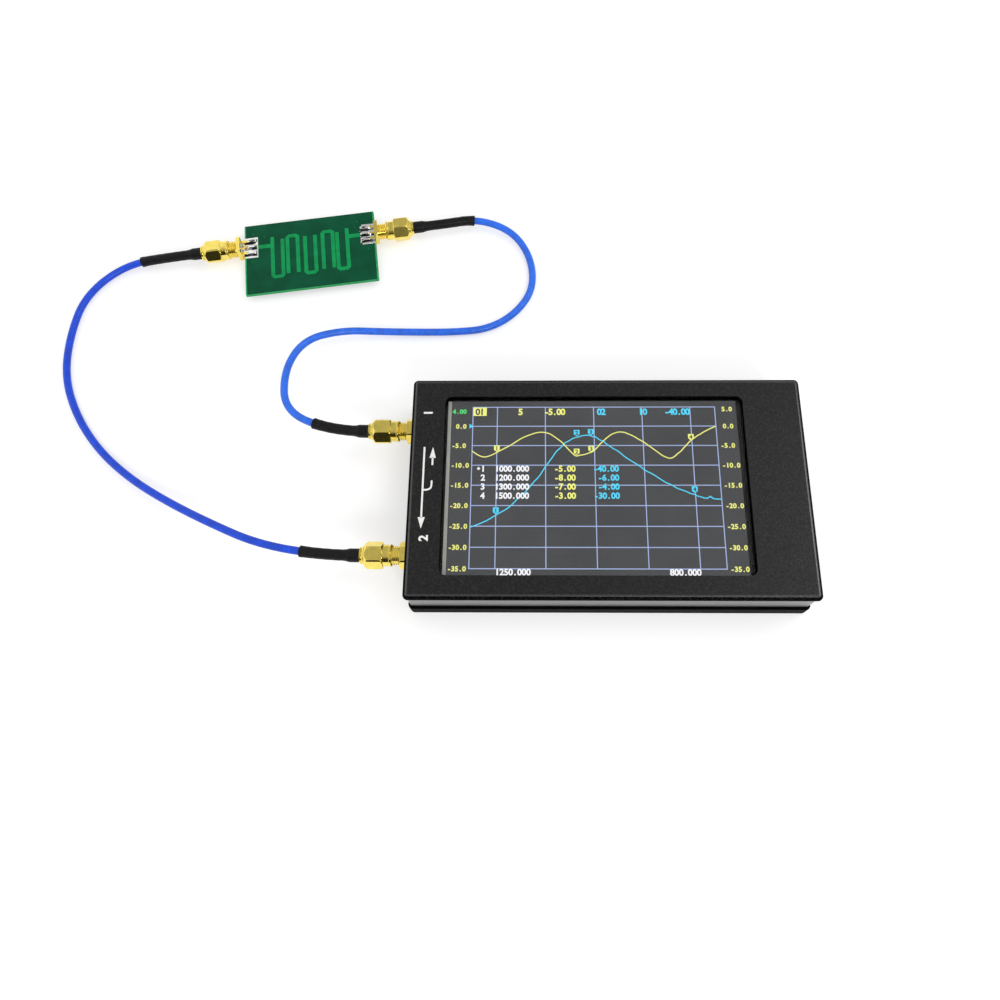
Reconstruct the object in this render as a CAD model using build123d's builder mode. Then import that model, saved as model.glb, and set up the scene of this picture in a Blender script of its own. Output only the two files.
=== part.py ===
"""Handheld antenna analyzer with two coax test leads and a hairpin filter board.

Millimetres, +Z up.  The origin is the centre of the case's footprint, on the
surface that it lies on.  The screen faces up, +X runs along the case away from
its two coax ports, and the controls are in the far long wall, at +Y.
"""

from build123d import *
from math import cos, radians, sin, sqrt, tan
import os

os.makedirs("parts", exist_ok=True)

# ---------------------------------------------------------------- case shells
case_length = 130.0
case_width = 75.0
case_height = 22.0
parting_height = 7.0          # where the lower cover meets the upper shell
wall = 2.0
wall_inset = 0.8              # the upper shell's walls stand back under its brim
brim_height = 2.4             # edge of the roof, standing out over the walls
brim_under_radius = 0.4
roof = 1.2
floor = 1.5
corner_radius = 1.6           # upright edges of the case
top_edge_radius = 1.5
bottom_edge_radius = 0.8
seam_chamfer = 0.2            # lower edge of the upper shell's walls
inner_corner_radius = 1.0
window_length = 99.3
window_width = 61.0
window_shift = -4.2           # the screen sits nearer to the ports
window_offset = 0.5           # the window sits off the case's centre line
window_corner = 2.2

# Case screws, M2.5 countersunk, driven from below into the upper shell's posts
post_inset = 4.3              # from the outer faces to the post's centre
post_radius = 2.7
screw_radius = 1.25
screw_length = 13.0
screw_head_radius = 2.2
screw_sunk = 0.1              # the heads lie this far inside the bottom face
screw_hole_clearance = 0.2
sink_clearance = 0.2
thread_clearance = 0.03
screw_tip_room = 2.0

# Locating lips of the lower cover
lip_height = 1.2
lip_thickness = 1.0
lip_root = 2.0
lip_clearance = 0.15
long_lip = 96.0
short_lip = 28.0
far_lip = 10.0
far_lip_spots = (-52.0, 50.0)

# ------------------------------------------------------------- display stack
gasket_thickness = 0.3
gasket_rim = 0.4              # the gasket stands back from the window by this
gasket_band = 1.8
touch_thickness = 1.1
touch_length = 104.0
touch_width = 66.6
display_length = 105.5
display_width = 67.2
display_thickness = 3.0
frame_sheet = 0.3
frame_fit = 0.1

# ---------------------------------------------------- main board and standoffs
board_thickness = 1.6
board_side_gap = 1.0
board_end_gap = 5.5
notch_gap = 0.5               # between the board and the shell's posts
can_gap = 0.3                 # foam gap between the shield cans and the display
standoff_x = 50.0
standoff_y = 30.0
standoff_flats = 4.5
board_screw_radius = 1.0
board_screw_length = 6.0
board_screw_head = 1.9
board_screw_head_height = 1.1
board_hole_clearance = 0.1
can_radius = 0.5
shield_cans = (               # centre x, centre y, length, width
    (-41.0, 0.0, 24.0, 42.0),
    (-8.0, 6.0, 30.0, 26.0),
)
top_chips = (                 # centre x, centre y, length, width, height
    (24.0, 2.0, 14.0, 14.0, 1.4),
    (24.0, -17.0, 6.0, 5.0, 1.0),
    (-8.0, -20.0, 9.0, 6.0, 1.2),
)
bottom_chips = (
    (-20.0, 30.0, 4.0, 4.0, 1.0),
    (2.0, -30.0, 5.0, 5.0, 2.0),
    (20.0, -30.0, 5.0, 4.0, 1.2),
)

# -------------------------------------------------------------------- battery
battery_length = 88.0
battery_width = 50.0
battery_thickness = 6.5
battery_edge = 2.0
pad_thickness = 0.5
pad_margin = 4.0
wire_radius = 0.55
wire_pitch = 2.0
wire_row = -10.0              # where the two wires leave the cell
wire_drop = 1.5               # how far they run straight before they turn
battery_socket = (5.0, 6.0, 4.0)   # length, width, height
socket_wire_depth = 2.0       # the wires enter this far below the board
socket_gap = 5.5              # from the cell's end to the socket's mouth

# --------------------------------------------------------------- flat ribbon
ribbon_width = 22.0
ribbon_thickness = 0.2
ribbon_reach = 3.2            # how far it loops out beyond the display
ribbon_rise = 0.8             # above the display's back, where it comes out
ribbon_seat = 0.8             # above the board, where it enters its connector
ribbon_bend = 1.3
ribbon_connector = (4.0, 24.0, 1.5)
ribbon_run = 3.0              # from the connector's mouth to the display's end

# ------------------------------------- coax connectors, stations along the axis
# Station 0 is the jack's front face and stations grow outwards, to the lead.
port_height = 14.0
port_offset = 21.7            # each port's axis from the case's centre line
port_reach = 9.5              # from the case's brim to the jack's front face
thread_radius = 3.175
thread_chamfer = 0.3
reference_depth = 1.9         # where the two mating halves meet, inside the jack
mating_bore = 2.325
mating_clearance = 0.025
insulator_radius = 2.05
insulator_clearance = 0.02
contact_radius = 0.635
contact_bore = 0.485
contact_depth = 3.0
contact_clearance = 0.02
tail_radius = 0.4
hole_clearance = 0.1
inner_flange = 1.5            # port jack's flange, inside the case wall
inner_flange_size = 7.0
port_leg_length = 4.0
leg_width = 1.0
leg_height = 0.9
leg_offset = 2.6
washer_thickness = 0.5
washer_band = 1.175
bulkhead_nut_length = 2.7
nut_wall = 0.775              # from each hexagon's bore out to its flats
nut_thread_clearance = 0.05
nut_turning = 0.17            # taken off every hexagon's corners on the lathe

# Coupling nut, which turns on the plug body
collar_front = -4.7
collar_wall = 0.475
collar_chamfer = 0.3
rim_length = 0.75             # raised front rim, ahead of a slimmer neck
rim_height = 0.18
hex_front = -1.8
hex_rear = 4.2
hex_face_drop = 0.6           # from the turned corners in to each turned face
front_turning = 0.4           # how far the turned cones reach along the hexagon
rear_turning = 0.9
nut_clocks = {                # degrees from upright to a flat, as each is done up
    "port_1": 4.0,
    "port_2": -28.0,
    "filter_left": 2.0,
    "filter_right": 5.5,
}
ring_front = 1.5
ring_width = 0.6
ring_bite = 0.195             # how far the spring ring reaches into the nut
ring_depth = 0.5              # and into the plug
ring_side_gap = 0.1
ring_groove_gap = 0.12
ring_split = 30.0             # degrees left open in the spring ring

# Plug body
plug_shoulder = 0.4
bearing_clearance = 0.075
plug_bearing_end = 4.6
rear_groove = (5.0, 5.3)
rear_groove_radius = 2.4
plug_rear = 5.8
plug_rim_radius = 2.8
ferrule_end = 9.5
ferrule_wall = 0.35
lead_start = 5.4              # where the lead is soldered into the plug
plug_pin_radius = 0.46
plug_pin_reach = 2.5
plug_pin_point = 0.5

# --------------------------------------------------------- leads and sleeves
lead_radius = 1.35
lead_clearance = 0.05
lead_in = 12.0                # straight run behind each plug
bend_share = 0.45             # of the shorter run, taken by each arc's tangent
sleeve_wall = 0.45
sleeve_length = 20.0
sleeve_taper = 1.0
sleeve_gap = 0.05

# --------------------------------------------------------------- filter board
filter_centre = (-110.1, 100.05)
filter_turn = 7.8             # degrees, as it happens to lie
filter_length = 50.4
filter_width = 31.0
filter_thickness = 1.6
filter_axis_height = 4.8      # the coupling nuts just clear the table
filter_axis_offset = 5.2      # connector axis above the board's centre line
jack_flange = 1.4
jack_flange_size = 6.4
jack_thread_length = 7.9
jack_leg_length = 5.6
left_jack_gap = 1.0           # this jack is not pushed right up to the board
trace_thickness = 0.1
trace_width = 1.25
feed_width = 1.55
feed_stub = 1.3               # the outermost legs stand this much taller
hairpin_spots = (-12.6, -6.8, 0.0, 6.8, 12.4)
hairpin_pitch = 3.9
hairpin_length = 17.3
hairpin_middle = -0.2         # from the board's centre line
hairpin_shift = 0.8           # neighbours are staggered by this each way
hairpin_corner = 1.05         # cut off each closed corner at 45 degrees
pad_length = 5.1
pad_width = 3.5
pad_shift = 0.15              # the pads lie a little outside their legs
joint_height = 0.6
joint_width = 0.45

# ---------------------------------------------------- controls in the far wall
control_depth = 1.63          # below the main board, centre of the controls
usb_x = -38.0
usb_width = 8.94
usb_height = 3.26
usb_depth = 7.4
usb_sheet = 0.3
usb_recess = 0.25             # the shell's mouth lies inside the case's face
usb_clearance = 0.18
tongue_width = 6.7
tongue_thickness = 0.7
tongue_length = 4.6
tongue_root = 1.0
light_x = -24.0
light_radius = 1.0
light_length = 4.4
light_proud = 0.3
light_foot = (2.4, 2.6, 2.2)  # length across, depth, height of the pipe's foot
light_clearance = 0.05

# Slide switch
power_x = -8.0
power_travel = 2.5
power_body = (9.0, 4.0, 3.5)  # along the wall, depth, height
power_wall = 0.7
power_back = 0.9
power_carriage = 4.0
power_stem = 2.4
power_stem_height = 1.5
power_proud = 1.3
slide_clearance = 0.1
slot_clearance = 0.3
control_gap = 0.3             # between the switch bodies and the case wall
grip_grooves = 3
grip_pitch = 0.7
grip_depth = 0.25

# Three-way jog switch: the lever rocks on a carriage, and the carriage presses in
jog_x = 30.0
jog_body = (12.0, 8.2, 3.6)
jog_wall = 0.8
jog_side_wall = 0.9
jog_back = 1.6
jog_travel = 0.6
jog_swing = 10.0
jog_carriage_depth = 4.6
jog_plate = 0.6
jog_pin_radius = 0.8
jog_pin_clearance = 0.05
jog_boss_radius = 1.9
jog_lever_thickness = 1.0
jog_lever_gap = 0.1
jog_neck = 2.0
jog_paddle_width = 3.6
jog_paddle_height = 1.9
jog_paddle_depth = 3.4
jog_paddle_gap = 0.35         # left to the case with the lever pressed and rocked
jog_paddle_round = 0.8
jog_head_room = 0.1

# ------------------------------------------------------ sizes that follow
half_length = case_length / 2
half_width = case_width / 2
cavity_length = case_length - 2 * wall
cavity_width = case_width - 2 * wall
roof_height = case_height - roof
brim_bottom = case_height - brim_height
board_top = port_height - tail_radius
board_bottom = board_top - board_thickness
board_left = -half_length + wall + inner_flange
board_right = half_length - wall - board_end_gap
board_half_width = cavity_width / 2 - board_side_gap
touch_top = roof_height - gasket_thickness
display_top = touch_top - touch_thickness
display_bottom = display_top - display_thickness
display_right = window_shift + display_length / 2
control_height = board_bottom - control_depth
far_face = half_width - wall_inset
far_inner = half_width - wall
control_front = far_inner - control_gap
nut_bore = thread_radius + nut_thread_clearance
nut_flats = 2 * (nut_bore + nut_wall)
nut_corner_radius = nut_flats / 2 / cos(radians(30)) - nut_turning
washer_radius = nut_bore + washer_band
collar_radius = nut_bore + collar_wall
plug_bearing = nut_bore - bearing_clearance
ring_outer = nut_bore + ring_bite
ring_inner = plug_bearing - ring_depth
ferrule_bore = lead_radius + lead_clearance
ferrule_radius = ferrule_bore + ferrule_wall
sleeve_radius = ferrule_bore + sleeve_wall
flare_bore = ferrule_radius + lead_clearance
flare_radius = flare_bore + sleeve_wall
post_spots = [
    (side_x * (half_length - post_inset), side_y * (half_width - post_inset))
    for side_x in (-1, 1)
    for side_y in (-1, 1)
]
standoff_spots = [
    (side_x * standoff_x, side_y * standoff_y) for side_x in (-1, 1) for side_y in (-1, 1)
]


def keep(piece, name):
    """Label one finished piece and write it to its own file."""
    piece.part.label = name
    export_step(piece.part, f"parts/{name}.step")


def connector_frame(origin, direction):
    """Plane whose X runs outwards along a connector's axis, from its front face."""
    return Plane(origin=origin, x_dir=direction, z_dir=(0, 0, 1))


def on_axis(frame, station):
    """Point on a connector's axis."""
    return frame.origin + frame.x_dir * station


def turning_axis(frame):
    """The connector's axis."""
    return Axis(frame.origin, frame.x_dir)


def across(frame, station):
    """Plane square to a connector's axis, with its X pointing up."""
    return Plane(origin=on_axis(frame, station), x_dir=(0, 0, 1), z_dir=frame.x_dir)


def half_section(frame, outline):
    """Face of (station, radius) points, to be turned about the connector's axis."""
    with BuildSketch(frame) as profile:
        with BuildLine():
            Polyline(*outline, close=True)
        make_face()
    return profile.sketch


def tube_section(frame, start, end, inner, outer):
    """Half section of a plain ring or tube."""
    return half_section(frame, [(start, inner), (end, inner), (end, outer), (start, outer)])


ports = {
    1: connector_frame((-half_length - port_reach, port_offset, port_height), (-1, 0, 0)),
    2: connector_frame((-half_length - port_reach, -port_offset, port_height), (-1, 0, 0)),
}
filter_along = Vector(cos(radians(filter_turn)), sin(radians(filter_turn)), 0)
filter_across = Vector(-sin(radians(filter_turn)), cos(radians(filter_turn)), 0)
filter_top = filter_axis_height - tail_radius - trace_thickness
filter_plane = Plane(
    origin=(filter_centre[0], filter_centre[1], filter_top), x_dir=filter_along, z_dir=(0, 0, 1)
)


def filter_jack_frame(side, edge_gap):
    """Frame of a filter board jack; side is -1 on the left and 1 on the right."""
    reach = filter_length / 2 + edge_gap + jack_flange + jack_thread_length
    centre = Vector(filter_centre[0], filter_centre[1], filter_axis_height)
    origin = centre + filter_across * filter_axis_offset + filter_along * (side * reach)
    return connector_frame(origin, filter_along * side)


filter_jacks = {"left": filter_jack_frame(-1, left_jack_gap), "right": filter_jack_frame(1, 0.0)}
mated_frames = {
    "port_1": ports[1],
    "port_2": ports[2],
    "filter_left": filter_jacks["left"],
    "filter_right": filter_jacks["right"],
}
control_face = Plane(origin=(0, far_face, control_height), x_dir=(1, 0, 0), z_dir=(0, -1, 0))

# ================================================================ case shells
screw_pilot = screw_radius + thread_clearance
pilot_top = screw_length + screw_tip_room
power_slot = power_travel + power_stem + 2 * slot_clearance
jog_slot = jog_neck + 2 * (slot_clearance + (jog_carriage_depth + wall) * tan(radians(jog_swing)))

with BuildPart() as top_shell:
    with BuildSketch(Plane.XY.offset(brim_bottom)):
        RectangleRounded(case_length, case_width, corner_radius)
    extrude(amount=brim_height)
    fillet(top_shell.faces().sort_by(Axis.Z)[-1].edges(), top_edge_radius)
    fillet(top_shell.faces().sort_by(Axis.Z)[0].edges(), brim_under_radius)
    # Walls, standing back under the brim
    with BuildSketch(Plane.XY.offset(parting_height)):
        RectangleRounded(
            case_length - 2 * wall_inset, case_width - 2 * wall_inset, corner_radius - wall_inset
        )
    extrude(amount=brim_bottom - parting_height)
    chamfer(top_shell.faces().sort_by(Axis.Z)[0].edges(), seam_chamfer)
    with BuildSketch(Plane.XY.offset(parting_height)):
        RectangleRounded(cavity_length, cavity_width, inner_corner_radius)
    extrude(amount=roof_height - parting_height, mode=Mode.SUBTRACT)
    # Screw posts run from the roof to the parting line, into the corners
    with BuildSketch(Plane.XY.offset(parting_height)):
        with Locations(*post_spots):
            Circle(post_radius)
    extrude(amount=roof_height - parting_height)
    with BuildSketch(Plane.XY.offset(parting_height)):
        with Locations(*post_spots):
            Circle(screw_pilot)
    extrude(amount=pilot_top - parting_height, mode=Mode.SUBTRACT)
    # Screen window
    with BuildSketch(Plane.XY.offset(roof_height)):
        with Locations((window_shift, window_offset)):
            RectangleRounded(window_length, window_width, window_corner)
    extrude(amount=roof, mode=Mode.SUBTRACT)
    # Port holes
    with BuildSketch(Plane(origin=(-half_length, 0, port_height), x_dir=(0, 1, 0), z_dir=(1, 0, 0))):
        with Locations((port_offset, 0), (-port_offset, 0)):
            Circle(thread_radius + hole_clearance)
    extrude(amount=wall, mode=Mode.SUBTRACT)
    # USB mouth, status light, power slot and jog slot
    with BuildSketch(control_face):
        with Locations((usb_x, 0)):
            SlotOverall(usb_width + 2 * usb_clearance, usb_height + 2 * usb_clearance)
        with Locations((light_x, 0)):
            Circle(light_radius + light_clearance)
        with Locations((power_x, 0)):
            Rectangle(power_slot, power_stem_height + 2 * slot_clearance)
        with Locations((jog_x, 0)):
            Rectangle(jog_slot, jog_paddle_height + 2 * slot_clearance)
    extrude(amount=wall, mode=Mode.SUBTRACT)
keep(top_shell, "top_shell")


def lip_spots(thickness, clearance):
    """Centres and sizes of the lips that stand inside the cover's walls."""
    long_row = cavity_width / 2 - clearance - thickness / 2
    short_row = cavity_length / 2 - clearance - thickness / 2
    spots = [(0, -long_row, long_lip, thickness)]
    spots += [(x, long_row, far_lip, thickness) for x in far_lip_spots]
    spots += [(side * short_row, 0, thickness, short_lip) for side in (-1, 1)]
    return spots


with BuildPart() as bottom_cover:
    with BuildSketch():
        RectangleRounded(case_length, case_width, corner_radius)
    extrude(amount=parting_height)
    fillet(bottom_cover.faces().sort_by(Axis.Z)[0].edges(), bottom_edge_radius)
    # The upper edge is rounded off right up to the upper shell's walls
    fillet(bottom_cover.faces().sort_by(Axis.Z)[-1].edges(), wall_inset)
    with BuildSketch(Plane.XY.offset(floor)):
        RectangleRounded(cavity_length, cavity_width, inner_corner_radius)
    extrude(amount=parting_height - floor, mode=Mode.SUBTRACT)
    with BuildSketch(Plane.XY.offset(floor)):
        with Locations(*post_spots):
            Circle(post_radius)
    extrude(amount=parting_height - floor)
    # Each lip is rooted on the cover's wall and rises inside the upper shell
    for x, y, length, width in lip_spots(lip_thickness + lip_clearance, 0.0):
        with BuildSketch(Plane.XY.offset(parting_height - lip_root)):
            with Locations((x, y)):
                Rectangle(length, width)
        extrude(amount=lip_root)
    for x, y, length, width in lip_spots(lip_thickness, lip_clearance):
        with BuildSketch(Plane.XY.offset(parting_height)):
            with Locations((x, y)):
                Rectangle(length, width)
        extrude(amount=lip_height)
    with Locations(*[Plane(origin=(x, y, 0), z_dir=(0, 0, -1)) for x, y in post_spots]):
        CounterSinkHole(
            screw_radius + screw_hole_clearance,
            screw_head_radius + sink_clearance,
            counter_sink_angle=90,
        )
keep(bottom_cover, "bottom_cover")

screw_cone = screw_head_radius - screw_radius
with BuildPart() as cover_screws:
    for x, y in post_spots:
        with BuildSketch(Plane.XZ.offset(-y)) as screw_profile:
            with BuildLine():
                Polyline(
                    (x, screw_sunk),
                    (x + screw_head_radius, screw_sunk),
                    (x + screw_radius, screw_sunk + screw_cone),
                    (x + screw_radius, screw_length),
                    (x, screw_length),
                    close=True,
                )
            make_face()
        revolve(axis=Axis((x, y, 0), (0, 0, 1)))
keep(cover_screws, "cover_screws")

# ============================================================= display stack
with BuildPart() as display_gasket:
    with BuildSketch(Plane.XY.offset(touch_top)):
        with Locations((window_shift, window_offset)):
            RectangleRounded(
                window_length + 2 * (gasket_rim + gasket_band),
                window_width + 2 * (gasket_rim + gasket_band),
                window_corner + gasket_rim,
            )
            RectangleRounded(
                window_length + 2 * gasket_rim,
                window_width + 2 * gasket_rim,
                window_corner,
                mode=Mode.SUBTRACT,
            )
    extrude(amount=gasket_thickness)
keep(display_gasket, "display_gasket")

with BuildPart() as touch_panel:
    with BuildSketch(Plane.XY.offset(display_top)):
        with Locations((window_shift, 0)):
            Rectangle(touch_length, touch_width)
    extrude(amount=touch_thickness)
keep(touch_panel, "touch_panel")

with BuildPart() as display_frame:
    with BuildSketch(Plane.XY.offset(display_bottom)):
        with Locations((window_shift, 0)):
            Rectangle(display_length, display_width)
    extrude(amount=display_thickness)
    with BuildSketch(Plane.XY.offset(display_bottom + frame_sheet)):
        with Locations((window_shift, 0)):
            Rectangle(display_length - 2 * frame_sheet, display_width - 2 * frame_sheet)
    extrude(amount=display_thickness - frame_sheet, mode=Mode.SUBTRACT)
keep(display_frame, "display_frame")

with BuildPart() as display_panel:
    with BuildSketch(Plane.XY.offset(display_bottom + frame_sheet)):
        with Locations((window_shift, 0)):
            Rectangle(
                display_length - 2 * (frame_sheet + frame_fit),
                display_width - 2 * (frame_sheet + frame_fit),
            )
    extrude(amount=display_thickness - frame_sheet)
keep(display_panel, "display_panel")

# ============================================ main board and what it carries
board_length = board_right - board_left
board_middle = (board_right + board_left) / 2
notch_length = -half_length + post_inset + post_radius + notch_gap - board_left
notch_width = board_half_width - (half_width - post_inset - post_radius - notch_gap)

with BuildPart() as main_board:
    with BuildSketch(Plane.XY.offset(board_bottom)):
        with Locations((board_middle, 0)):
            Rectangle(board_length, 2 * board_half_width)
        with Locations((board_left, board_half_width)):
            Rectangle(notch_length, notch_width, align=(Align.MIN, Align.MAX), mode=Mode.SUBTRACT)
        with Locations((board_left, -board_half_width)):
            Rectangle(notch_length, notch_width, align=(Align.MIN, Align.MIN), mode=Mode.SUBTRACT)
        with Locations(*standoff_spots):
            Circle(board_screw_radius + board_hole_clearance, mode=Mode.SUBTRACT)
    extrude(amount=board_thickness)
keep(main_board, "main_board")

with BuildPart() as board_standoffs:
    with BuildSketch(Plane.XY.offset(floor)):
        with Locations(*standoff_spots):
            RegularPolygon(standoff_flats / 2, 6, major_radius=False)
            Circle(board_screw_radius + thread_clearance, mode=Mode.SUBTRACT)
    extrude(amount=board_bottom - floor)
keep(board_standoffs, "board_standoffs")

with BuildPart() as board_screws:
    with BuildSketch(Plane.XY.offset(board_top)):
        with Locations(*standoff_spots):
            Circle(board_screw_head)
    extrude(amount=board_screw_head_height)
    with BuildSketch(Plane.XY.offset(board_top)):
        with Locations(*standoff_spots):
            Circle(board_screw_radius)
    extrude(amount=-board_screw_length)
keep(board_screws, "board_screws")

with BuildPart() as board_shields:
    for x, y, length, width in shield_cans:
        with BuildSketch(Plane.XY.offset(board_top)):
            with Locations((x, y)):
                RectangleRounded(length, width, can_radius)
        extrude(amount=display_bottom - can_gap - board_top)
keep(board_shields, "board_shields")

with BuildPart() as board_chips:
    for x, y, length, width, height in top_chips:
        with BuildSketch(Plane.XY.offset(board_top)):
            with Locations((x, y)):
                Rectangle(length, width)
        extrude(amount=height)
    for x, y, length, width, height in bottom_chips:
        with BuildSketch(Plane.XY.offset(board_bottom)):
            with Locations((x, y)):
                Rectangle(length, width)
        extrude(amount=-height)
keep(board_chips, "board_chips")

# =================================================================== battery
battery_bottom = floor + pad_thickness
battery_middle = battery_bottom + battery_thickness / 2
battery_end = battery_length / 2
socket_length, socket_width, socket_height = battery_socket
socket_mouth = battery_end + socket_gap

with BuildPart() as battery_pad:
    with BuildSketch(Plane.XY.offset(floor)):
        Rectangle(battery_length - 2 * pad_margin, battery_width - 2 * pad_margin)
    extrude(amount=pad_thickness)
keep(battery_pad, "battery_pad")

with BuildPart() as battery_cell:
    with BuildSketch(Plane.YZ.offset(-battery_end)):
        with Locations((0, battery_middle)):
            RectangleRounded(battery_width, battery_thickness, battery_edge)
    extrude(amount=battery_length)
keep(battery_cell, "battery_cell")

with BuildPart() as battery_connector:
    with BuildSketch(Plane.XY.offset(board_bottom)):
        with Locations((socket_mouth, wire_row)):
            Rectangle(socket_length, socket_width, align=(Align.MIN, Align.CENTER))
    extrude(amount=-socket_height)
keep(battery_connector, "battery_connector")

wire_seat = board_bottom - socket_wire_depth
with BuildPart() as battery_wires:
    for side in (-1, 1):
        row = wire_row + side * wire_pitch / 2
        with BuildLine():
            Polyline(
                (battery_end, row, battery_middle),
                (battery_end + wire_drop, row, battery_middle),
                (socket_mouth - wire_drop, row, wire_seat),
                (socket_mouth, row, wire_seat),
            )
        with BuildSketch(Plane.YZ.offset(battery_end)):
            with Locations((row, battery_middle)):
                Circle(wire_radius)
        sweep(transition=Transition.RIGHT)
keep(battery_wires, "battery_wires")

# =================================================================== ribbon
connector_length, connector_width, connector_height = ribbon_connector
ribbon_high = display_bottom + ribbon_rise
ribbon_low = board_top + ribbon_seat
ribbon_out = display_right + ribbon_reach
ribbon_end = display_right - ribbon_run

with BuildPart() as ribbon_socket:
    with BuildSketch(Plane.XY.offset(board_top)):
        with Locations((ribbon_end, 0)):
            Rectangle(connector_length, connector_width, align=(Align.MAX, Align.CENTER))
    extrude(amount=connector_height)
keep(ribbon_socket, "ribbon_socket")

ribbon_inner_bend = ribbon_bend - ribbon_thickness
with BuildPart() as display_ribbon:
    with BuildSketch(Plane.XZ):
        with BuildLine():
            FilletPolyline(
                (display_right, ribbon_high),
                (ribbon_out, ribbon_high),
                (ribbon_out, ribbon_low),
                (ribbon_end, ribbon_low),
                (ribbon_end, ribbon_low + ribbon_thickness),
                (ribbon_out - ribbon_thickness, ribbon_low + ribbon_thickness),
                (ribbon_out - ribbon_thickness, ribbon_high - ribbon_thickness),
                (display_right, ribbon_high - ribbon_thickness),
                radius=[0, ribbon_bend, ribbon_bend, 0, 0, ribbon_inner_bend, ribbon_inner_bend, 0],
                close=True,
            )
        make_face()
    extrude(amount=ribbon_width / 2, both=True)
keep(display_ribbon, "display_ribbon")


# ========================================================== coax connectors
def make_jack(frame, root, flange, flange_size, leg_length, plate):
    """Threaded barrel on a square flange, with four legs that straddle a board.

    root is the flange's outer station and plate the board's thickness.
    """
    back = root - flange
    outline = [
        (root, insulator_radius + insulator_clearance),
        (-reference_depth, insulator_radius + insulator_clearance),
        (-reference_depth, mating_bore),
        (0, mating_bore),
        (0, thread_radius - thread_chamfer),
        (-thread_chamfer, thread_radius),
        (root, thread_radius),
    ]
    upper_leg = -tail_radius
    lower_leg = -tail_radius - plate - leg_height
    with BuildPart() as jack:
        revolve(half_section(frame, outline), axis=turning_axis(frame))
        with BuildSketch(across(frame, back)):
            Rectangle(flange_size, flange_size)
            Circle(insulator_radius + insulator_clearance, mode=Mode.SUBTRACT)
        extrude(amount=flange)
        for height in (upper_leg, lower_leg):
            with BuildSketch(frame.offset(height)):
                with Locations((back, leg_offset), (back, -leg_offset)):
                    Rectangle(leg_length, leg_width, align=(Align.MAX, Align.CENTER))
            extrude(amount=leg_height)
    return jack


def make_insulator(frame, start, end, radius, bore):
    """White plastic bead that carries the centre conductor."""
    with BuildPart() as bead:
        revolve(tube_section(frame, start, end, bore, radius), axis=turning_axis(frame))
    return bead


def make_contact(frame, back, tail_length):
    """Female centre contact with its tail on the board."""
    front = -reference_depth
    outline = [
        (back - tail_length, 0),
        (front - contact_depth, 0),
        (front - contact_depth, contact_bore),
        (front, contact_bore),
        (front, contact_radius),
        (back, contact_radius),
        (back, tail_radius),
        (back - tail_length, tail_radius),
    ]
    with BuildPart() as contact:
        revolve(half_section(frame, outline), axis=turning_axis(frame))
    return contact


def join_pieces(makers):
    """One node that holds like pieces as separate solids."""
    with BuildPart() as group:
        for piece in makers:
            add(piece.part)
    return group


def make_hexagon_nut(frame, start, end):
    """Plain hexagon nut with turned corners, and a cone on its outer face."""
    turned = [
        (start, 0),
        (start, nut_corner_radius),
        (end - front_turning, nut_corner_radius),
        (end, nut_corner_radius - hex_face_drop),
        (end, 0),
    ]
    with BuildPart() as nut:
        with BuildSketch(across(frame, start)):
            RegularPolygon(nut_flats / 2, 6, major_radius=False)
        extrude(amount=end - start)
        revolve(half_section(frame, turned), axis=turning_axis(frame), mode=Mode.INTERSECT)
        with BuildSketch(across(frame, start)):
            Circle(nut_bore)
        extrude(amount=end - start, mode=Mode.SUBTRACT)
    return nut


bead_bore = contact_radius + contact_clearance
port_root = -port_reach - wall
port_back = port_root - inner_flange
jack_root = -jack_thread_length
jack_back = jack_root - jack_flange

for number, frame in ports.items():
    port_jack = make_jack(
        frame, port_root, inner_flange, inner_flange_size, port_leg_length, board_thickness
    )
    keep(port_jack, f"port_{number}_jack")

port_beads = join_pieces(
    make_insulator(frame, port_back, -reference_depth, insulator_radius, bead_bore)
    for frame in ports.values()
)
keep(port_beads, "port_jack_insulators")
port_contacts = join_pieces(
    make_contact(frame, port_back, port_leg_length) for frame in ports.values()
)
keep(port_contacts, "port_jack_contacts")

washer_start = -port_reach - wall_inset
washer_end = washer_start + washer_thickness
with BuildPart() as port_washers:
    for frame in ports.values():
        washer = tube_section(frame, washer_start, washer_end, nut_bore, washer_radius)
        revolve(washer, axis=turning_axis(frame))
keep(port_washers, "port_washers")

port_nuts = join_pieces(
    make_hexagon_nut(frame, washer_end, washer_end + bulkhead_nut_length)
    for frame in ports.values()
)
keep(port_nuts, "port_nuts")


def make_plug_body(frame):
    """Male half: mating tube, bearing for the nut, ring groove and solder ferrule."""
    tube_bore = insulator_radius
    groove_start = ring_front - ring_side_gap
    groove_end = ring_front + ring_width + ring_side_gap
    groove_radius = ring_inner - contact_clearance
    rear_groove_start, rear_groove_end = rear_groove
    outline = [
        (-reference_depth, tube_bore),
        (lead_start - plug_shoulder, tube_bore),
        (lead_start - plug_shoulder, ferrule_bore),
        (ferrule_end, ferrule_bore),
        (ferrule_end, ferrule_radius),
        (plug_rear, ferrule_radius),
        (plug_rear, plug_rim_radius),
        (rear_groove_end, plug_rim_radius),
        (rear_groove_end, rear_groove_radius),
        (rear_groove_start, rear_groove_radius),
        (rear_groove_start, plug_rim_radius),
        (plug_bearing_end, plug_bearing),
        (groove_end, plug_bearing),
        (groove_end, groove_radius),
        (groove_start, groove_radius),
        (groove_start, plug_bearing),
        (plug_shoulder, plug_bearing),
        (plug_shoulder, mating_bore - mating_clearance),
        (-reference_depth, mating_bore - mating_clearance),
    ]
    with BuildPart() as body:
        revolve(half_section(frame, outline), axis=turning_axis(frame))
    return body


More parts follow.
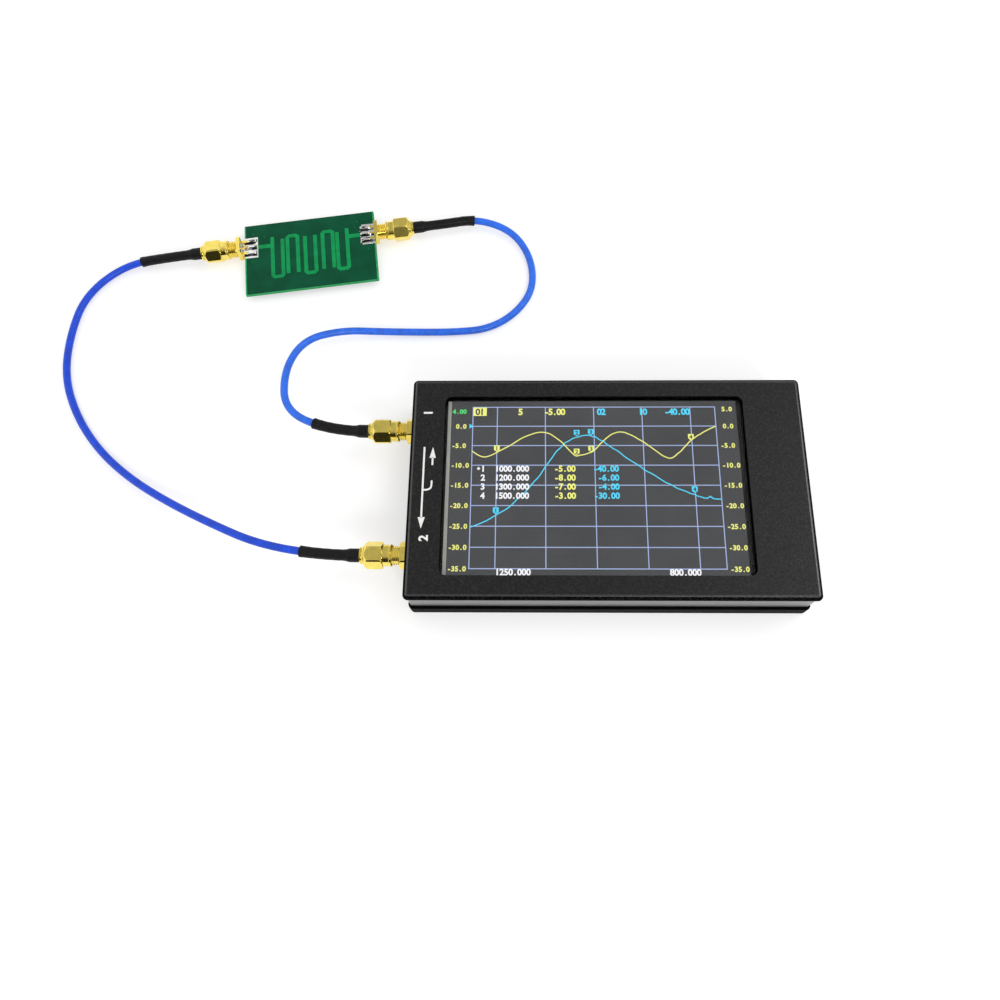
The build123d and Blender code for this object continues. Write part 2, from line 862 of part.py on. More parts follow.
def make_coupling_nut(frame, clock):
    """Hexagon with a rimmed collar in front and a groove for the spring ring inside.

    clock is the angle from upright to one of its flats.
    """
    groove_start = ring_front - ring_side_gap
    groove_end = ring_front + ring_width + ring_side_gap
    hex_face_radius = nut_corner_radius - hex_face_drop
    neck_radius = collar_radius - rim_height
    rim_end = collar_front + rim_length
    turned = [
        (hex_front, 0),
        (hex_front, hex_face_radius),
        (hex_front + front_turning, nut_corner_radius),
        (hex_rear - rear_turning, nut_corner_radius),
        (hex_rear, hex_face_radius),
        (hex_rear, 0),
    ]
    collar = [
        (hex_front, 0),
        (collar_front, 0),
        (collar_front, collar_radius - collar_chamfer),
        (collar_front + collar_chamfer, collar_radius),
        (rim_end, collar_radius),
        (rim_end + rim_height, neck_radius),
        (hex_front, neck_radius),
    ]
    hollow = [
        (collar_front, 0),
        (hex_rear, 0),
        (hex_rear, nut_bore),
        (groove_end, nut_bore),
        (groove_end, ring_outer + ring_groove_gap),
        (groove_start, ring_outer + ring_groove_gap),
        (groove_start, nut_bore),
        (collar_front, nut_bore),
    ]
    with BuildPart() as nut:
        with BuildSketch(across(frame, hex_front)):
            RegularPolygon(nut_flats / 2, 6, major_radius=False, rotation=clock - 30)
        extrude(amount=hex_rear - hex_front)
        revolve(half_section(frame, turned), axis=turning_axis(frame), mode=Mode.INTERSECT)
        revolve(half_section(frame, collar), axis=turning_axis(frame))
        revolve(half_section(frame, hollow), axis=turning_axis(frame), mode=Mode.SUBTRACT)
    return nut


def make_spring_ring(frame):
    """Split ring that keeps the nut on the plug."""
    section = tube_section(frame, ring_front, ring_front + ring_width, ring_inner, ring_outer)
    with BuildPart() as ring:
        revolve(section, axis=turning_axis(frame), revolution_arc=360 - ring_split)
    return ring


def make_plug_pin(frame):
    """Male centre pin with a pointed tip."""
    tip = -reference_depth - plug_pin_reach
    outline = [
        (tip, 0),
        (lead_start - plug_shoulder, 0),
        (lead_start - plug_shoulder, plug_pin_radius),
        (tip + plug_pin_point, plug_pin_radius),
        (tip, plug_pin_radius / 2),
    ]
    with BuildPart() as pin:
        revolve(half_section(frame, outline), axis=turning_axis(frame))
    return pin


for name, frame in mated_frames.items():
    keep(make_plug_body(frame), f"{name}_plug_body")
    keep(make_coupling_nut(frame, nut_clocks[name]), f"{name}_coupling_nut")

plug_pins = join_pieces(make_plug_pin(frame) for frame in mated_frames.values())
keep(plug_pins, "plug_pins")
plug_beads = join_pieces(
    make_insulator(
        frame,
        -reference_depth,
        lead_start - plug_shoulder,
        insulator_radius - insulator_clearance,
        plug_pin_radius + insulator_clearance,
    )
    for frame in mated_frames.values()
)
keep(plug_beads, "plug_insulators")
spring_rings = join_pieces(make_spring_ring(frame) for frame in mated_frames.values())
keep(spring_rings, "nut_spring_rings")

# ========================================================== leads and sleeves
lead_routes = {
    1: [
        on_axis(ports[1], lead_start),
        on_axis(ports[1], lead_start + lead_in),
        Vector(-110.7, 29.3, 12.6),
        Vector(-113.4, 46.7, 10.2),
        Vector(-108.2, 60.6, 7.4),
        Vector(-95.0, 65.7, 5.0),
        Vector(-81.2, 66.2, 3.0),
        Vector(-67.6, 66.5, 1.9),
        Vector(-54.3, 66.7, 1.5),
        Vector(-41.3, 67.9, 1.5),
        Vector(-30.9, 74.6, 1.5),
        Vector(-24.4, 85.3, 1.5),
        Vector(-25.5, 99.3, 1.7),
        Vector(-33.0, 110.7, 2.6),
        Vector(-46.5, 115.1, 4.0),
        on_axis(filter_jacks["right"], lead_start + lead_in),
        on_axis(filter_jacks["right"], lead_start),
    ],
    2: [
        on_axis(ports[2], lead_start),
        on_axis(ports[2], lead_start + lead_in),
        Vector(-114.3, -17.7, 12.4),
        Vector(-133.3, -9.2, 9.0),
        Vector(-150.4, -0.5, 5.4),
        Vector(-166.0, 8.9, 2.8),
        Vector(-179.4, 20.0, 1.6),
        Vector(-189.8, 33.3, 1.5),
        Vector(-196.9, 48.7, 1.5),
        Vector(-198.3, 65.8, 1.5),
        Vector(-195.6, 83.1, 1.6),
        Vector(-182.1, 96.1, 2.4),
        on_axis(filter_jacks["left"], lead_start + lead_in),
        on_axis(filter_jacks["left"], lead_start),
    ],
}


def bend_radii(route):
    """The largest arc that each corner of a route has room for."""
    radii = []
    for before, corner, after in zip(route, route[1:], route[2:]):
        arriving = corner - before
        leaving = after - corner
        half_turn = radians(arriving.get_angle(leaving)) / 2
        radii.append(bend_share * min(arriving.length, leaving.length) / tan(half_turn))
    return radii


def make_lead(route):
    """Round cable along straight runs joined by tangent arcs."""
    with BuildPart() as lead:
        with BuildLine() as path:
            FilletPolyline(*route, radius=bend_radii(route))
        with BuildSketch(Plane(origin=route[0], z_dir=route[1] - route[0])):
            Circle(lead_radius)
        sweep()
    length = path.wire().length
    print("lead length", round(length, 1), "radii", [round(r, 1) for r in bend_radii(route)])
    return lead


def make_sleeve(frame, route):
    """Heat-shrunk sleeve on the plug's ferrule and the first part of the lead."""
    beyond = sleeve_length + plug_rear - lead_start - lead_in
    towards = (route[2] - route[1]).normalized()
    path_points = [route[0], route[1], route[1] + towards * beyond]
    flare_end = ferrule_end + sleeve_taper
    flare = [
        (lead_start, ferrule_bore),
        (flare_end, ferrule_bore),
        (flare_end, sleeve_radius),
        (ferrule_end, flare_radius),
        (lead_start, flare_radius),
    ]
    pocket = tube_section(frame, lead_start, ferrule_end + sleeve_gap, 0, flare_bore)
    mouth = tube_section(frame, 0, plug_rear + sleeve_gap, 0, plug_bearing)
    with BuildPart() as sleeve:
        with BuildLine():
            FilletPolyline(*path_points, radius=bend_radii(route)[:1])
        with BuildSketch(Plane(origin=route[0], z_dir=route[1] - route[0])):
            Circle(sleeve_radius)
            Circle(ferrule_bore, mode=Mode.SUBTRACT)
        sweep()
        revolve(half_section(frame, flare), axis=turning_axis(frame))
        revolve(pocket, axis=turning_axis(frame), mode=Mode.SUBTRACT)
        revolve(mouth, axis=turning_axis(frame), mode=Mode.SUBTRACT)
    return sleeve


lead_ends = {1: ("port_1", "filter_right"), 2: ("port_2", "filter_left")}
for number, route in lead_routes.items():
    near_end, far_end = lead_ends[number]
    keep(make_lead(route), f"coax_lead_{number}")
    keep(make_sleeve(mated_frames[near_end], route), f"{near_end}_sleeve")
    keep(make_sleeve(mated_frames[far_end], route[::-1]), f"{far_end}_sleeve")

# =============================================================== filter board
half_filter = filter_length / 2
leg_reach = jack_leg_length - left_jack_gap

with BuildPart() as filter_board:
    with BuildSketch(filter_plane):
        Rectangle(filter_length, filter_width)
    extrude(amount=-filter_thickness)
keep(filter_board, "filter_board")

pad_offset = leg_offset + pad_shift
pad_spots = [
    (side * half_filter, filter_axis_offset + row * pad_offset)
    for side in (-1, 1)
    for row in (-1, 1)
]
feed_legs = [
    (-1, hairpin_spots[0] - hairpin_pitch / 2),
    (1, hairpin_spots[-1] + hairpin_pitch / 2),
]
feed_leg_end = hairpin_middle - hairpin_shift + hairpin_length / 2


def hairpin_outline(spot, side):
    """One U of strip, as wide at its cut corners as along its legs.

    Its closed end is the lower one for side 1 and the upper one for side -1.
    """
    outer = (hairpin_pitch + trace_width) / 2
    inner = outer - trace_width
    inner_corner = hairpin_corner - trace_width * (2 - sqrt(2))
    closed = hairpin_middle - side * (hairpin_shift + hairpin_length / 2)
    open_end = closed + side * hairpin_length
    strip = closed + side * trace_width
    right_half = [
        (inner - inner_corner, strip),
        (inner, strip + side * inner_corner),
        (inner, open_end),
        (outer, open_end),
        (outer, closed + side * hairpin_corner),
        (outer - hairpin_corner, closed),
    ]
    left_half = [(-x, y) for x, y in reversed(right_half)]
    return [(spot + x, y) for x, y in right_half + left_half]


with BuildPart() as filter_traces:
    with BuildSketch(filter_plane):
        for index, spot in enumerate(hairpin_spots):
            with BuildLine():
                Polyline(*hairpin_outline(spot, (-1) ** index), close=True)
            make_face()
        for side, leg in feed_legs:
            with Locations((leg, feed_leg_end)):
                Rectangle(trace_width, 2 * feed_stub)
            with Locations(((side * half_filter + leg) / 2, filter_axis_offset)):
                Rectangle(half_filter - abs(leg), feed_width)
        for x, y in pad_spots:
            with Locations((x, y)):
                edge = Align.MIN if x < 0 else Align.MAX
                Rectangle(pad_length, pad_width, align=(edge, Align.CENTER))
    extrude(amount=trace_thickness)
keep(filter_traces, "filter_traces")

for side_name, frame in filter_jacks.items():
    filter_jack = make_jack(
        frame,
        jack_root,
        jack_flange,
        jack_flange_size,
        jack_leg_length,
        filter_thickness + trace_thickness,
    )
    keep(filter_jack, f"filter_{side_name}_jack")

filter_beads = join_pieces(
    make_insulator(frame, jack_back, -reference_depth, insulator_radius, bead_bore)
    for frame in filter_jacks.values()
)
keep(filter_beads, "filter_jack_insulators")
filter_contacts = join_pieces(
    make_contact(frame, jack_back, jack_leg_length) for frame in filter_jacks.values()
)
keep(filter_contacts, "filter_jack_contacts")

# Solder stands in a wedge against both sides of each upper leg
with BuildPart() as solder_joints:
    for side_name, frame in filter_jacks.items():
        with BuildSketch(across(frame, jack_back - jack_leg_length)):
            for leg in (-leg_offset, leg_offset):
                for face in (-1, 1):
                    root = -(leg + face * leg_width / 2)
                    with BuildLine():
                        Polyline(
                            (-tail_radius, root),
                            (-tail_radius + joint_height, root),
                            (-tail_radius, root - face * joint_width),
                            close=True,
                        )
                    make_face()
        extrude(amount=leg_reach)
keep(solder_joints, "solder_joints")

# ============================================================ USB-C receptacle
usb_mouth = far_face - usb_recess
usb_plane = Plane(origin=(usb_x, usb_mouth, control_height), x_dir=(1, 0, 0), z_dir=(0, -1, 0))

with BuildPart() as usb_c_shell:
    with BuildSketch(usb_plane):
        SlotOverall(usb_width, usb_height)
    extrude(amount=usb_depth)
    with BuildSketch(usb_plane):
        SlotOverall(usb_width - 2 * usb_sheet, usb_height - 2 * usb_sheet)
    extrude(amount=usb_depth - usb_sheet, mode=Mode.SUBTRACT)
keep(usb_c_shell, "usb_c_shell")

tongue_front = usb_depth - usb_sheet - tongue_root - tongue_length
with BuildPart() as usb_c_tongue:
    with BuildSketch(usb_plane.offset(tongue_front)):
        Rectangle(tongue_width, tongue_thickness)
    extrude(amount=tongue_length)
    with BuildSketch(usb_plane.offset(tongue_front + tongue_length)):
        SlotOverall(usb_width - 2 * usb_sheet, usb_height - 2 * usb_sheet)
    extrude(amount=tongue_root)
keep(usb_c_tongue, "usb_c_tongue")

# =============================================================== status light
foot_width, foot_depth, foot_height = light_foot
with BuildPart() as status_light_pipe:
    with BuildSketch(control_face.offset(-light_proud)):
        with Locations((light_x, 0)):
            Circle(light_radius)
    extrude(amount=light_length)
    with BuildSketch(control_face.offset(light_length - light_proud)):
        with Locations((light_x, board_bottom - control_height)):
            Rectangle(foot_width, foot_height + light_radius, align=(Align.CENTER, Align.MAX))
    extrude(amount=foot_depth)
keep(status_light_pipe, "status_light_pipe")


# ============================================================= slide switch
def switch_plane(x, depth):
    """Plane facing into the case, a depth behind the switch bodies' front."""
    return Plane(
        origin=(x, control_front - depth, board_bottom), x_dir=(1, 0, 0), z_dir=(0, -1, 0)
    )


body_width, body_depth, body_height = power_body
carriage_height = body_height - 2 * power_wall - 2 * slide_clearance
body_middle = -body_height / 2

with BuildPart() as power_switch_body:
    with BuildSketch(switch_plane(power_x, 0)):
        with Locations((0, body_middle)):
            Rectangle(body_width, body_height)
    extrude(amount=body_depth)
    with BuildSketch(switch_plane(power_x, 0)):
        with Locations((0, body_middle)):
            Rectangle(body_width - 2 * power_wall, body_height - 2 * power_wall)
    extrude(amount=body_depth - power_back, mode=Mode.SUBTRACT)
keep(power_switch_body, "power_switch_body")

power_rest = power_x - power_travel / 2
carriage_front = slide_clearance
stem_face = far_face + power_proud
stem_length = stem_face - control_front + carriage_front
stem_plane = Plane(origin=(power_rest, stem_face, control_height), x_dir=(1, 0, 0), z_dir=(0, -1, 0))

with BuildPart() as power_knob:
    with BuildSketch(switch_plane(power_rest, carriage_front)):
        with Locations((0, body_middle)):
            Rectangle(power_carriage, carriage_height)
    extrude(amount=body_depth - power_back - carriage_front - slide_clearance)
    with BuildSketch(stem_plane):
        Rectangle(power_stem, power_stem_height)
    extrude(amount=stem_length)
    # Grip grooves across the thumb face
    with BuildSketch(stem_plane):
        with GridLocations(grip_pitch, 0, grip_grooves, 1):
            Rectangle(grip_pitch / 2, power_stem_height)
    extrude(amount=grip_depth, mode=Mode.SUBTRACT)
keep(power_knob, "power_knob")

# ========================================================== three-way jog switch
jog_width, jog_depth, jog_height = jog_body
jog_cavity_width = jog_width - 2 * jog_side_wall
jog_cavity_height = jog_height - 2 * jog_wall
jog_floor = board_bottom - jog_height + jog_wall
carriage_back = control_front - (jog_depth - jog_back) + jog_travel + slide_clearance
pivot_y = carriage_back + jog_carriage_depth - jog_boss_radius - jog_head_room

with BuildPart() as jog_switch_body:
    with BuildSketch(switch_plane(jog_x, 0)):
        with Locations((0, -jog_height / 2)):
            Rectangle(jog_width, jog_height)
    extrude(amount=jog_depth)
    with BuildSketch(switch_plane(jog_x, 0)):
        with Locations((0, -jog_height / 2)):
            Rectangle(jog_cavity_width, jog_cavity_height)
    extrude(amount=jog_depth - jog_back, mode=Mode.SUBTRACT)
keep(jog_switch_body, "jog_switch_body")

plate_bottom = jog_floor + slide_clearance
plate_top = plate_bottom + jog_plate
lever_bottom = plate_top + jog_lever_gap
lever_top = lever_bottom + jog_lever_thickness
pin_top = jog_floor + jog_cavity_height - slide_clearance

with BuildPart() as jog_plunger:
    with BuildSketch(Plane.XY.offset(plate_bottom)):
        with Locations((jog_x, carriage_back)):
            Rectangle(
                jog_cavity_width - 2 * slide_clearance,
                jog_carriage_depth,
                align=(Align.CENTER, Align.MIN),
            )
    extrude(amount=jog_plate)
    with BuildSketch(Plane.XY.offset(plate_top)):
        with Locations((jog_x, pivot_y)):
            Circle(jog_pin_radius)
    extrude(amount=pin_top - plate_top)
keep(jog_plunger, "jog_plunger")

paddle_swing = jog_paddle_width / 2 * sin(radians(jog_swing))
paddle_back = far_face + jog_travel + paddle_swing + jog_paddle_gap
paddle_front = paddle_back + jog_paddle_depth
neck_length = paddle_back - pivot_y

with BuildPart() as jog_lever:
    with BuildSketch(Plane.XY.offset(lever_bottom)):
        with Locations((jog_x, pivot_y)):
            Circle(jog_boss_radius)
            Rectangle(jog_neck, neck_length, align=(Align.CENTER, Align.MIN))
            Circle(jog_pin_radius + jog_pin_clearance, mode=Mode.SUBTRACT)
    extrude(amount=jog_lever_thickness)
    # Thumb paddle outside the case, rounded at its front
    with BuildSketch(Plane.XY.offset(control_height - jog_paddle_height / 2)) as paddle:
        with Locations((jog_x, paddle_back)):
            Rectangle(jog_paddle_width, jog_paddle_depth, align=(Align.CENTER, Align.MIN))
        fillet(paddle.vertices().group_by(Axis.Y)[-1], jog_paddle_round)
    extrude(amount=jog_paddle_height)
keep(jog_lever, "jog_lever")
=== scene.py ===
from math import atan2, cos, exp, hypot, pi, radians, sin, sqrt

import bmesh
import bpy
from bpy.props import FloatProperty, FloatVectorProperty, IntProperty, PointerProperty
from mathutils import Matrix, Vector


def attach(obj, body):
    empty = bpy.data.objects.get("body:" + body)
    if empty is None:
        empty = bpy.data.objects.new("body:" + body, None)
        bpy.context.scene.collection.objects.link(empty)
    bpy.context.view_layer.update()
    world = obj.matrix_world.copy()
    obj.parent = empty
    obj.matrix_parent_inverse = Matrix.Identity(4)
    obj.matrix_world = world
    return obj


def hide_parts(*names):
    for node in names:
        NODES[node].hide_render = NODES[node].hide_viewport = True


bl_info = {
    "name": "Antenna Analyzer Finishes",
    "version": (1, 0, 0),
    "blender": (4, 5, 0),
    "location": "3D View > Sidebar > Analyzer",
    "description": "Finished pieces of a handheld antenna analyzer, its leads and filter board",
    "category": "Add Mesh",
}

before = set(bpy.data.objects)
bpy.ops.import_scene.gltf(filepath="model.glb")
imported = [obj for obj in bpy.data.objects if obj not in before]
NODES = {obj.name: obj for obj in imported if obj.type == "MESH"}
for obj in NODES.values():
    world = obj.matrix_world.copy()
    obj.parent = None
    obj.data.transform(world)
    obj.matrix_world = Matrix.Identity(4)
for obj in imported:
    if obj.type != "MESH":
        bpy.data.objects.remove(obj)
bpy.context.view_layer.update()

# ------------------------------------------------------------------ sizes
# Lengths are in millimetres, as in the part's construction, and MM turns them
# into the scene's metres as each piece is placed.
MM = 0.001
UPRIGHT = 0.5                     # a face whose normal rises less than this is a wall
CASE_TOP = 22.0
BRIM_HEIGHT = 2.4
MARK_HEIGHT = CASE_TOP + 0.003
DISPLAY_TOP = 19.4
GLASS_TOP = 20.5
GLASS_SIZE = (104.0, 66.6)
SCREEN_MIDDLE = -4.2
LIT_AREA = (-53.0, 43.5, -30.9, 30.2)   # left, right, near and far sides
THREAD_RADIUS = 3.175
NUT_BORE = 3.225
NUT_CAVITY = 3.54                 # radius of the groove for the spring ring
NUT_HALF_FLATS = 4.0
NUT_CORNER = NUT_HALF_FLATS / cos(radians(30)) - 0.17
NUT_FACE = NUT_CORNER - 0.6
FILTER_CENTRE = (-110.1, 100.05)
FILTER_TURN = radians(7.8)
FILTER_HALF_LENGTH = 25.2
FILTER_TOP = 4.3
AXIS_OFFSET = 5.2
AXIS_HEIGHT = 4.8
LEAD_START = 5.4                  # station where each lead enters its plug
SLEEVE_START = 0.45               # station where each shrink sleeve begins
BENDS_START = LEAD_START + 12.0   # station where a lead may begin to bend
THREAD_ENDS = {"port_1": -11.4, "port_2": -11.4, "filter_left": -7.9, "filter_right": -7.9}
LEG_TINNED = {"filter_left": -11.7, "filter_right": -11.3}  # stations where tin begins
SCREW_SPOTS = [(x, y) for x in (-60.7, 60.7) for y in (-33.2, 33.2)]
SCREW_SUNK = 0.1                  # how far the case screws lie inside the cover
COPPER = 0.1                      # thickness of the filter board's traces
PAD_LENGTH = 5.6                  # solder pads under the legs of the board's jacks
SOLDER_REACH = 0.68               # how far solder spreads beside a leg
SOLDER_OVER_LEG = 0.96            # height of the solder where it covers a leg

FILTER_ALONG = Vector((cos(FILTER_TURN), sin(FILTER_TURN), 0))
FILTER_ACROSS = Vector((-sin(FILTER_TURN), cos(FILTER_TURN), 0))


def filter_spot(along, across, height):
    """Point in millimetres from the filter board's own length and width."""
    spot = FILTER_ALONG * along + FILTER_ACROSS * across
    return Vector((FILTER_CENTRE[0] + spot.x, FILTER_CENTRE[1] + spot.y, height))


# Each connector's front face, outward direction, and the angle from upright to
# one of the flats of its coupling nut as it was left
CONNECTORS = {
    "port_1": (Vector((-74.5, 21.7, 14.0)), Vector((-1, 0, 0)), 7.0),
    "port_2": (Vector((-74.5, -21.7, 14.0)), Vector((-1, 0, 0)), -8.0),
    "filter_left": (filter_spot(-35.5, AXIS_OFFSET, AXIS_HEIGHT), -FILTER_ALONG, 2.0),
    "filter_right": (filter_spot(34.5, AXIS_OFFSET, AXIS_HEIGHT), FILTER_ALONG, -10.0),
}


def lead_end(connector, station):
    origin, along, _ = CONNECTORS[connector]
    return tuple(origin + along * station)


# Routes of the two leads, from their ports to the filter board
LEAD_ROUTES = {
    "coax_lead_1": [
        lead_end("port_1", LEAD_START), lead_end("port_1", BENDS_START),
        (-110.7, 29.3, 12.6), (-113.4, 46.7, 10.2), (-108.2, 60.6, 7.4), (-95.0, 65.7, 5.0),
        (-81.2, 66.2, 3.0), (-67.6, 66.5, 1.9), (-54.3, 66.7, 1.5), (-41.3, 67.9, 1.5),
        (-30.9, 74.6, 1.5), (-24.4, 85.3, 1.5), (-25.5, 99.3, 1.7), (-33.0, 110.7, 2.6),
        (-46.5, 115.1, 4.0),
        lead_end("filter_right", BENDS_START), lead_end("filter_right", LEAD_START),
    ],
    "coax_lead_2": [
        lead_end("port_2", LEAD_START), lead_end("port_2", BENDS_START),
        (-114.3, -17.7, 12.4), (-133.3, -9.2, 9.0), (-150.4, -0.5, 5.4), (-166.0, 8.9, 2.8),
        (-179.4, 20.0, 1.6), (-189.8, 33.3, 1.5), (-196.9, 48.7, 1.5), (-198.3, 65.8, 1.5),
        (-195.6, 83.1, 1.6), (-182.1, 96.1, 2.4),
        lead_end("filter_left", BENDS_START), lead_end("filter_left", LEAD_START),
    ],
}
LEAD_ENDS = {
    "coax_lead_1": ("port_1", "filter_right"),
    "coax_lead_2": ("port_2", "filter_left"),
}


# ---------------------------------------------------------------- settings
def colour_setting(name, description, default):
    return FloatVectorProperty(
        name=name, description=description, default=default, subtype="COLOR", size=3, min=0, max=1
    )


def length_setting(name, description, default):
    return FloatProperty(
        name=name, description=description, default=default, unit="LENGTH", subtype="DISTANCE",
        min=0, precision=5,
    )


def share_setting(name, description, default, most=1):
    return FloatProperty(name=name, description=description, default=default, min=0, max=most)


def power_setting(name, description, default):
    return FloatProperty(
        name=name, description=description, default=default, unit="POWER", min=0
    )


class AnalyzerStageSettings(bpy.types.PropertyGroup):
    floor_size: length_setting("Floor Size", "Side of the square floor", 8.0)
    floor_colour: colour_setting("Floor Colour", "Colour of the floor", (0.66, 0.66, 0.66))
    lamp_size: length_setting("Lamp Size", "Side of each square lamp", 0.40)
    lamp_power: power_setting("Lamp Power", "Power of the lamp in front", 5.0)
    side_lamp_power: power_setting("Side Lamp Power", "Power of the lamp on the right", 1.5)
    sky_strength: share_setting("Sky Strength", "Even light from all round", 0.78, most=2)


class AnalyzerLeadSettings(bpy.types.PropertyGroup):
    jacket_radius: length_setting("Jacket Radius", "Radius of the coax jacket", 0.00135)
    # One jacket in two copies: the first lead's colour is painted lighter and the second's darker,
    # as painted light and shade.
    jacket_1_lit_colour: colour_setting("Jacket 1 Colour", "First lead", (0.021, 0.149, 0.80))
    jacket_2_shaded_colour: colour_setting("Jacket 2 Colour", "Second lead", (0.004, 0.062, 0.65))
    sleeve_length: length_setting("Sleeve Length", "Length of each shrink sleeve", 0.020)
    board_sleeve_extra: length_setting(
        "Board Sleeve Extra", "How much longer the sleeves at the filter board are", 0.0038
    )
    sleeve_colour: colour_setting("Sleeve Colour", "Shrink sleeve", (0.006, 0.006, 0.007))


class AnalyzerConnectorSettings(bpy.types.PropertyGroup):
    thread_pitch: length_setting("Thread Pitch", "Pitch of the coax connectors' thread", 0.0007056)
    thread_depth: length_setting("Thread Depth", "Depth of that thread", 0.00040)
    edge_break: length_setting("Edge Break", "Width of the broken edges", 0.00005)
    gold_colour: colour_setting("Gold Colour", "Plating of the connectors", (0.93, 0.74, 0.165))
    turning_steps: IntProperty(
        name="Turning Steps", description="Facets round each turned piece", default=120, min=24,
        max=240,
    )


class AnalyzerCaseSettings(bpy.types.PropertyGroup):
    paint_colour: colour_setting("Paint Colour", "Paint of the case", (0.0034, 0.0034, 0.0036))
    grain_size: length_setting("Grain Size", "Size of the paint's grain", 0.00030)
    # Clear coat on the walls alone is a painted brighter reflection; the walls are the same paint
    # as the top.
    wall_reflection_coat: share_setting("Wall Coat", "Share of clear coat on the walls", 0.8)
    edge_break: length_setting("Edge Break", "Width of the broken edges", 0.00018)
    mark_colour: colour_setting("Mark Colour", "Printed numerals and arrows", (0.84, 0.84, 0.81))


class AnalyzerScreenSettings(bpy.types.PropertyGroup):
    line_width: length_setting("Line Width", "Width of the grid's lines", 0.00030)
    curve_width: length_setting("Curve Width", "Width of the plotted curves", 0.00036)
    glow: colour_setting("Glow", "Light of the dark background", (0.070, 0.071, 0.074))
    grid_colour: colour_setting("Grid Colour", "Lines of the grid", (0.41, 0.51, 0.82))
    first_colour: colour_setting("First Curve", "First plotted curve", (0.93, 0.93, 0.24))
    second_colour: colour_setting("Second Curve", "Second plotted curve", (0.10, 0.71, 0.98))


class AnalyzerFilterSettings(bpy.types.PropertyGroup):
    mask_colour: colour_setting("Mask Colour", "Mask over bare laminate", (0.002, 0.076, 0.034))
    trace_colour: colour_setting("Trace Colour", "Mask over copper", (0.003, 0.29, 0.080))
    edge_colour: colour_setting("Edge Colour", "Cut edge of the board", (0.002, 0.34, 0.085))
    # Width of a band along the board's ends in the bright edge colour, painted light standing in
    # for light through the laminate's cut edge; the mask is left off there.
    glow_band_width: length_setting("Bare Edge", "Laminate left bare along the board's ends", 0.00055)
    mask_spread: length_setting("Mask Spread", "Width of the mask beside each trace", 0.00012)
    tinned_length: length_setting("Tinned Length", "Bare length of the feed lines", 0.0051)


# ------------------------------------------------------------- finish tools
def new_node(tree, kind, inputs, **settings):
    """Node with its settings; each input holds a value or another node's output."""
    node = tree.nodes.new("ShaderNode" + kind)
    for setting, value in settings.items():
        setattr(node, setting, value)
    for socket, value in inputs.items():
        if isinstance(value, bpy.types.NodeSocket):
            tree.links.new(value, node.inputs[socket])
        else:
            node.inputs[socket].default_value = value
    return node


def map_range(tree, source, start, end, low=0.0, high=1.0):
    """Value from low to high while the source goes from start to end."""
    limits = {"Value": source, "From Min": start, "From Max": end, "To Min": low, "To Max": high}
    return new_node(tree, "MapRange", limits).outputs["Result"]


def combine(tree, first, second, operation="ADD"):
    """Sum of two values, or what another operation makes of them."""
    return new_node(tree, "Math", {0: first, 1: second}, operation=operation).outputs[0]


def new_finish(name, colour, roughness, metallic=0.0, **sockets):
    """Material with one shader; further sockets are given by name with underscores."""
    material = bpy.data.materials.new(name)
    material.use_nodes = True
    inputs = material.node_tree.nodes["Principled BSDF"].inputs
    inputs["Base Color"].default_value = (*colour, 1.0)
    inputs["Roughness"].default_value = roughness
    inputs["Metallic"].default_value = metallic
    for socket, value in sockets.items():
        inputs[socket.replace("_", " ")].default_value = value
    return material


def feed_shader(material, socket, source):
    tree = material.node_tree
    tree.links.new(source, tree.nodes["Principled BSDF"].inputs[socket])


def add_noise(material, grain, detail=3.0, stretch=(1, 1, 1), turn=0.0):
    """Noise whose grain is about that many millimetres, stretched along each axis."""
    tree = material.node_tree
    place = new_node(tree, "TexCoord", {}).outputs["Object"]
    scale = [grain * MM * share for share in stretch]
    mapping = new_node(
        tree, "Mapping", {"Vector": place, "Rotation": (0, 0, turn), "Scale": scale},
        vector_type="TEXTURE",
    )
    inputs = {"Vector": mapping.outputs["Vector"], "Scale": 1.0, "Detail": detail}
    return new_node(tree, "TexNoise", inputs).outputs["Fac"]


def add_mottle(material, source, low, high, between=(0.35, 0.65), socket="Base Color"):
    """Colour that wanders between low and high."""
    ramp = new_node(material.node_tree, "ValToRGB", {"Fac": source})
    for element, position, colour in zip(ramp.color_ramp.elements, between, (low, high)):
        element.position = position
        element.color = (*colour, 1.0)
    feed_shader(material, socket, ramp.outputs["Color"])


def add_sheen_change(material, source, low, high):
    """Roughness that wanders between low and high."""
    spread = map_range(material.node_tree, source, 0.3, 0.7, low, high)
    feed_shader(material, "Roughness", spread)


def add_relief(material, source, depth, strength=1.0):
    """Bump whose height is about that many millimetres."""
    inputs = {"Height": source, "Strength": strength, "Distance": depth * MM}
    bump = new_node(material.node_tree, "Bump", inputs)
    feed_shader(material, "Normal", bump.outputs["Normal"])


def tinted(colour, factor):
    return tuple(min(1.0, part * factor) for part in colour)


def textured(
    name, colour, roughness, metallic=0.0, mottle=None, sheen=None, relief=None, **sockets
):
    """Finish that varies over its pieces.

    Mottle, sheen and relief each hold their noise's grain, or all that the noise takes,
    and then their own numbers. A mottle's two colours can be factors of the finish's own.
    """
    finish = new_finish(name, colour, roughness, metallic, **sockets)
    if mottle:
        grain, *shades = mottle
        shades = [tinted(colour, part) if isinstance(part, float) else part for part in shades]
        mottle = (grain, *shades)
    for add, row in ((add_mottle, mottle), (add_sheen_change, sheen), (add_relief, relief)):
        if row:
            noise = row[0] if isinstance(row[0], dict) else {"grain": row[0]}
            add(finish, add_noise(finish, **noise), *row[1:])
    return finish


# --------------------------------------------------------------- mesh tools
def link_object(name, data):
    made = bpy.data.objects.new(name, data)
    bpy.context.scene.collection.objects.link(made)
    return made


